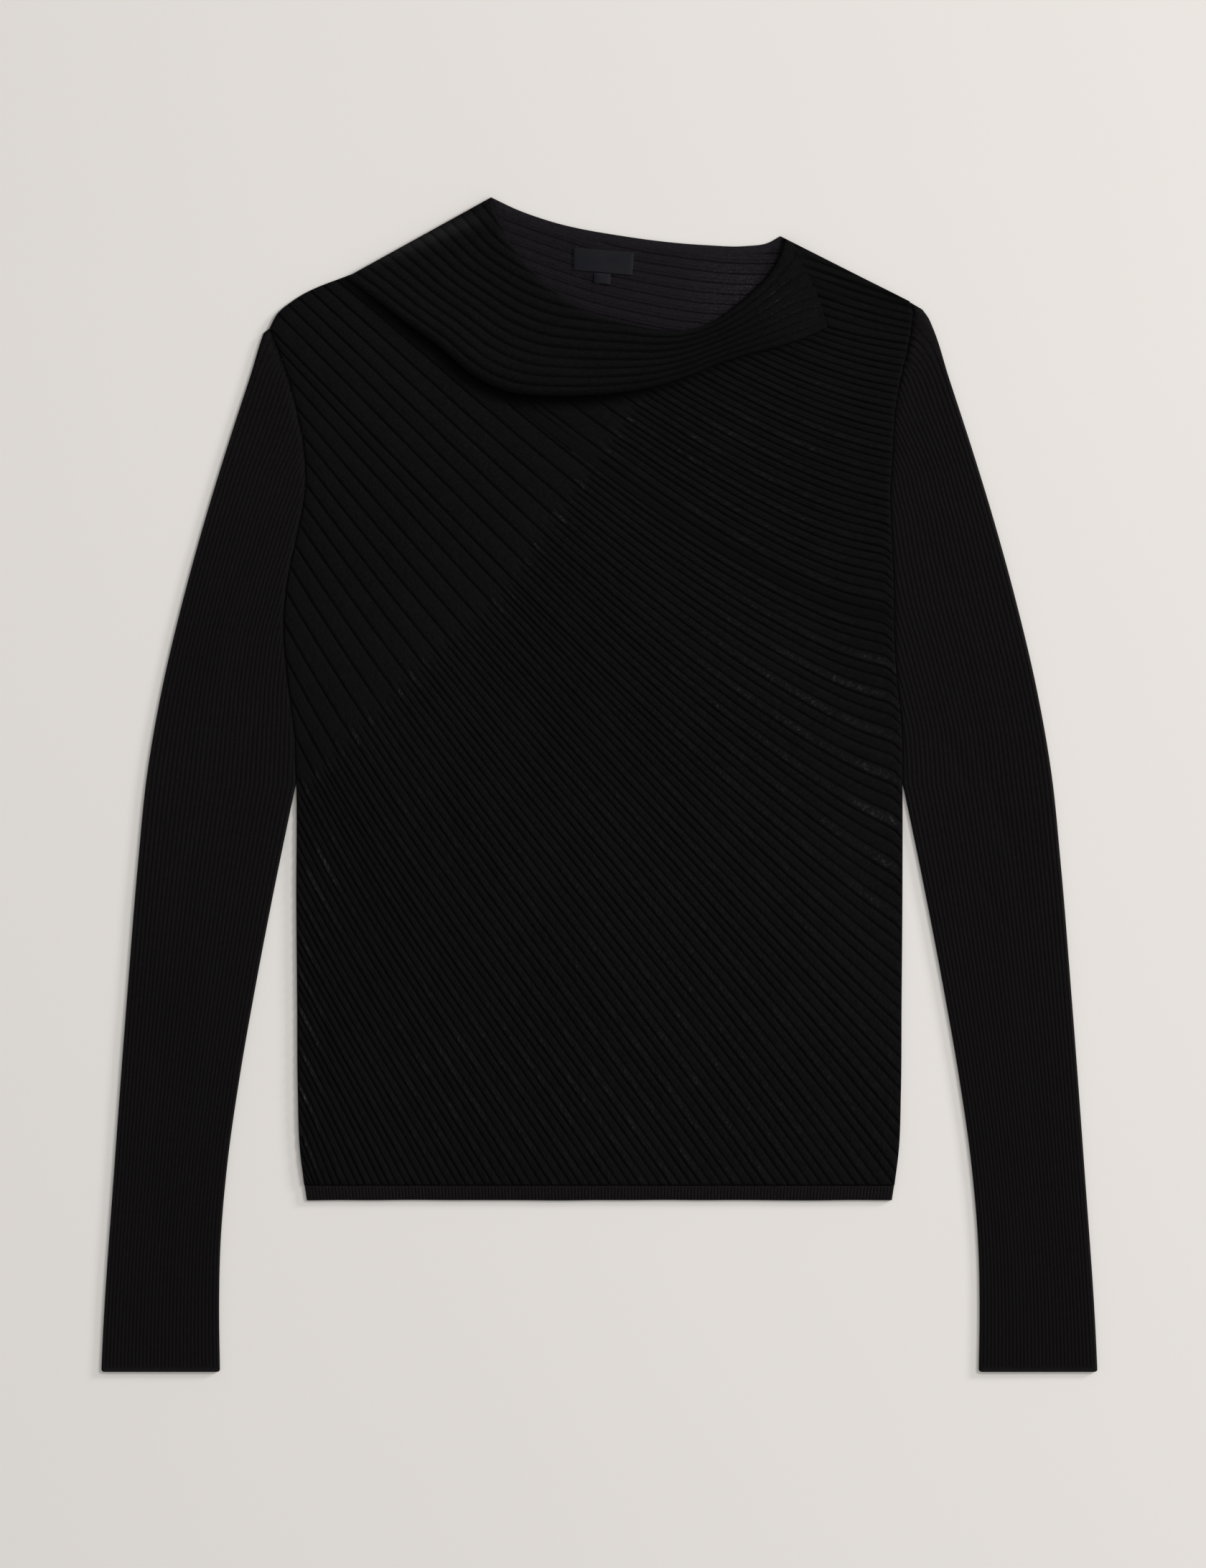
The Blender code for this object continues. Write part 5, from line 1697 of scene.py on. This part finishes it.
@dataclass
class HemBand:
    """The narrow band round the hem: a flattened ring with fine upright ribs."""

    top_half: float = 180.6
    bottom_half: float = 179.2
    top_y: float = HEM_SEAM_Y - 0.1
    bottom_y: float = -254.8
    pitch: float = 2.04
    columns_per_rib: int = 7
    height: float = 2.35
    middle: float = 1.2
    rib_height: float = 0.42
    groove_half: float = 0.42
    plain_reach: float = 6.0

    def build(self) -> bpy.types.Object:
        """Builds the band as one closed roll."""
        ribs = int(round(2.0 * self.top_half / self.pitch))
        share = np.linspace(-1.0, 1.0, ribs * self.columns_per_rib + 1)
        place = np.linspace(0.0, float(ribs), len(share))
        relief = 1.0 - groove_depth(from_whole(place) * self.pitch, self.groove_half)
        side = rounding((1.0 - np.abs(share)) * self.top_half, 2.4)
        depth = self.top_y - self.bottom_y
        # How far down, how high and how ribbed: over the top, round the edge, inside and below.
        profile = (
            (0.0, 0.15, 0.0), (0.0, 0.75, 0.1), (0.5, 1.0, 0.5), (1.3, 1.0, 1.0), (3.2, 1.03, 1.0),
            (5.6, 1.03, 1.0), (depth - 1.6, 1.0, 1.0), (depth - 0.6, 0.92, 0.7), (depth - 0.1, 0.78, 0.2),
            (depth, 0.64, 0.0), (depth - 0.4, 0.55, 0.0), (1.2, 0.53, 0.0), (1.2, 0.49, 0.0),
            (depth - 0.6, 0.47, 0.0), (depth - 0.3, 0.36, 0.0), (depth - 0.4, 0.16, 0.0),
            (depth - 1.0, 0.0, 0.0), (1.2, 0.0, 0.0),
        )
        rows, uv, shade = [], [], []
        for reach, lift, ribbed in profile:
            half = self.top_half + (self.bottom_half - self.top_half) * reach / depth
            x = share * half
            wave = 0.1 * ripple(x, np.full(x.shape, reach), 60.0, 6.0)
            z = self.height * lift + (self.rib_height * relief + wave) * ribbed
            z = z - (z - self.middle) * side * (lift > 0.5)
            y = np.full(x.shape, self.top_y - reach)
            if reach > self.plain_reach:
                y = y + 0.25 * ripple(x, np.zeros(x.shape), 80.0, 8.0)
            rows.append(np.column_stack([x, y, z]))
            uv.append(np.column_stack([np.full(x.shape, reach * MM), place]))
            # Painted shade in the grooves, and darker along the band's top edge.
            groove = (1.0 - relief) * ribbed + 0.9 * (reach < 0.4)
            shade.append(np.column_stack([np.zeros((len(x), 2)), groove]))
        cloth = ClothMesh()
        numbers = cloth.add_grid(np.array(rows), np.array(uv), np.array(shade), closed=True)
        cloth.close_end(numbers[:, 0])
        cloth.close_end(numbers[:, -1])
        return cloth.to_object("hem_knit_band")


@dataclass
class Label:
    """A bare satin label, sewn at its ends."""

    name: str
    corners: tuple
    bottom: float = 1.75
    thickness: float = 0.45
    cuts: int = 14
    folded: bool = False
    fold_height: float = 0.55
    fold_start: float = 0.42
    fold_end: float = 0.58
    bow: float = 0.32
    seam_dip: float = 0.16
    seam_place: float = 0.035

    def build(self) -> bpy.types.Object:
        """Models the label from a plane: cut, bowed, thickened and bevelled."""
        bpy.ops.object.select_all(action="DESELECT")
        bpy.ops.mesh.primitive_plane_add(size=1.0, location=(0.0, 0.0, 0.0))
        label = bpy.context.active_object
        label.name = self.name
        bpy.ops.object.mode_set(mode="EDIT")
        bpy.ops.mesh.select_all(action="SELECT")
        bpy.ops.mesh.subdivide(number_cuts=self.cuts)
        bpy.ops.object.mode_set(mode="OBJECT")
        top_left, top_right, low_right, low_left = (np.array(c) for c in self.corners)
        for vertex in label.data.vertices:
            across, up = vertex.co.x + 0.5, vertex.co.y + 0.5
            layer = 0.0
            if self.folded:
                turned = float(ramp(up, self.fold_start, self.fold_end))
                layer = 0.5 * self.fold_height * (1.0 - math.cos(math.pi * turned))
                up = abs(2.0 * up - 1.0)
            low = low_left + (low_right - low_left) * across
            high = top_left + (top_right - top_left) * across
            x, y = low + (high - low) * up
            bow = self.bow * math.sin(math.pi * across) * (0.4 + 0.6 * math.sin(math.pi * up))
            dip = self.seam_dip * bell(min(across, 1.0 - across) - self.seam_place, self.seam_place)
            vertex.co = (x * MM, y * MM, (self.bottom + bow - dip + layer) * MM)
        solid = label.modifiers.new("thickness", "SOLIDIFY")
        solid.thickness = self.thickness * MM
        solid.offset = 1.0
        bevel = label.modifiers.new("soft_edge", "BEVEL")
        bevel.width = 0.12 * MM
        bevel.segments = 2
        for modifier in list(label.modifiers):
            bpy.ops.object.modifier_apply(modifier=modifier.name)
        label.data.shade_smooth()
        return label


@dataclass
class Studio:
    """The floor, the light and the camera of the photograph."""

    floor_m: float = 9.0
    key_energy: float = 192.0
    low_energy: float = 300.0
    fill_energy: float = 70.0
    warm: tuple[float, float, float] = (1.0, 0.988, 0.975)
    sky_strength: float = 0.36

    def floor(self) -> bpy.types.Object:
        """Lays the pale floor just under the cloth."""
        bpy.ops.object.select_all(action="DESELECT")
        bpy.ops.mesh.primitive_plane_add(size=1.0, location=(0.0, 0.0, 0.0))
        floor = bpy.context.active_object
        floor.name = "floor"
        for vertex in floor.data.vertices:
            vertex.co = (vertex.co.x * self.floor_m, vertex.co.y * self.floor_m, -0.0003)
        floor.data.materials.append(FloorFinish().material())
        return floor

    def area(self, name: str, place: tuple, size: float, energy: float, colour: tuple) -> None:
        """Adds a soft lamp that looks at the middle of the top.

        Args:
            name: The lamp's name.
            place: Where it hangs, in metres.
            size: Its width in metres.
            energy: Its power.
            colour: Its colour.
        """
        data = bpy.data.lights.new(name, "AREA")
        data.size = size
        data.energy = energy
        data.color = colour
        lamp = bpy.data.objects.new(name, data)
        lamp.location = place
        lamp.rotation_euler = (-Vector(place)).to_track_quat("-Z", "Y").to_euler()
        bpy.context.scene.collection.objects.link(lamp)

    def lights(self) -> None:
        """Sets a soft key and a low lamp at the upper right, a wide fill and a pale sky."""
        self.area("key", (4.3, 2.3, 4.3), 1.6, self.key_energy, self.warm)
        self.area("low", (6.0, 3.4, 2.1), 1.2, self.low_energy, self.warm)
        self.area("fill", (1.6, -0.6, 5.6), 3.0, self.fill_energy, (1.0, 0.992, 0.985))
        world = bpy.data.worlds.new("studio_sky")
        world.use_nodes = True
        sky = world.node_tree.nodes["Background"]
        sky.inputs[0].default_value = (1.0, 0.99, 0.98, 1.0)
        sky.inputs[1].default_value = self.sky_strength
        bpy.context.scene.world = world

    def camera(self) -> None:
        """Hangs the camera straight over the top, framed as the photograph."""
        data = bpy.data.cameras.new("camera")
        data.sensor_fit = "VERTICAL"
        data.sensor_height = 24.0
        data.lens = data.sensor_height * CAMERA_HEIGHT / VIEW_HEIGHT
        data.clip_end = 20.0
        camera = bpy.data.objects.new("camera", data)
        camera.location = (VIEW_CENTRE[0] * MM, VIEW_CENTRE[1] * MM, CAMERA_HEIGHT * MM)
        bpy.context.scene.collection.objects.link(camera)
        bpy.context.scene.camera = camera


@dataclass
class Wardrobe:
    """Dresses the pieces and hangs each one on its body."""

    stitches: bpy.types.NodeTree
    fuzz: bpy.types.NodeTree
    made: dict = field(default_factory=dict)

    def knit(self, finish: KnitFinish) -> bpy.types.Material:
        """The material of a finish, made once."""
        if finish.name not in self.made:
            self.made[finish.name] = finish.material(self.stitches, self.fuzz)
        return self.made[finish.name]

    def put(self, piece: bpy.types.Object, material: bpy.types.Material, node: str) -> None:
        """Gives a piece its material and body, and hides the CAD node that it stands for.

        Args:
            piece: The piece.
            material: Its material.
            node: The CAD node that it stands for.
        """
        piece.data.materials.clear()
        piece.data.materials.append(material)
        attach(piece, BODY)
        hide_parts(node)
        LOG.info("%s: %d faces, stands for %s", piece.name, len(piece.data.polygons), node)


def main() -> None:
    """Builds and dresses every piece, then the studio."""
    logging.basicConfig(level=logging.INFO, format="%(name)s: %(message)s")
    bpy.context.scene.view_settings.view_transform = "Standard"
    studio = Studio()
    studio.camera()
    wardrobe = Wardrobe(stitch_group(), fuzz_group())

    back = BackPanel()
    back_piece = back.build()
    wardrobe.put(back_piece, wardrobe.knit(INNER_BLACK), "back_panel")

    front_piece = FrontPanel().build()
    wardrobe.put(front_piece, wardrobe.knit(SOOT), "front_panel")

    cowl_piece = Cowl().build()
    wardrobe.put(cowl_piece, wardrobe.knit(SOOT), "front_cowl")

    right_edge = np.vstack([RIGHT_SHOULDER_TIP, smooth_curve(RIGHT_SIDE)])
    sleeves = (
        (Sleeve(Hand.LEFT, smooth_curve(LEFT_SIDE), 276.5, 2.9), "sleeve_left"),
        (Sleeve(Hand.RIGHT, right_edge, 291.0, 4.4), "sleeve_right"),
    )
    for sleeve, node in sleeves:
        piece = sleeve.build()
        wardrobe.put(piece, wardrobe.knit(SLEEVE_BLACK), node)
        y = sleeve.levels()

    band_piece = HemBand().build()
    wardrobe.put(band_piece, wardrobe.knit(BAND_BLACK), "hem_band")

    satin = SatinFinish().material()
    label = Label("neck_label_satin", NECK_LABEL).build()
    wardrobe.put(label, satin, "neck_label")
    tab = Label("size_tab_satin", SIZE_TAB, thickness=0.3, cuts=20, folded=True).build()
    wardrobe.put(tab, satin, "size_tab")

    studio.floor()
    studio.lights()


if __name__ == "__main__":
    main()
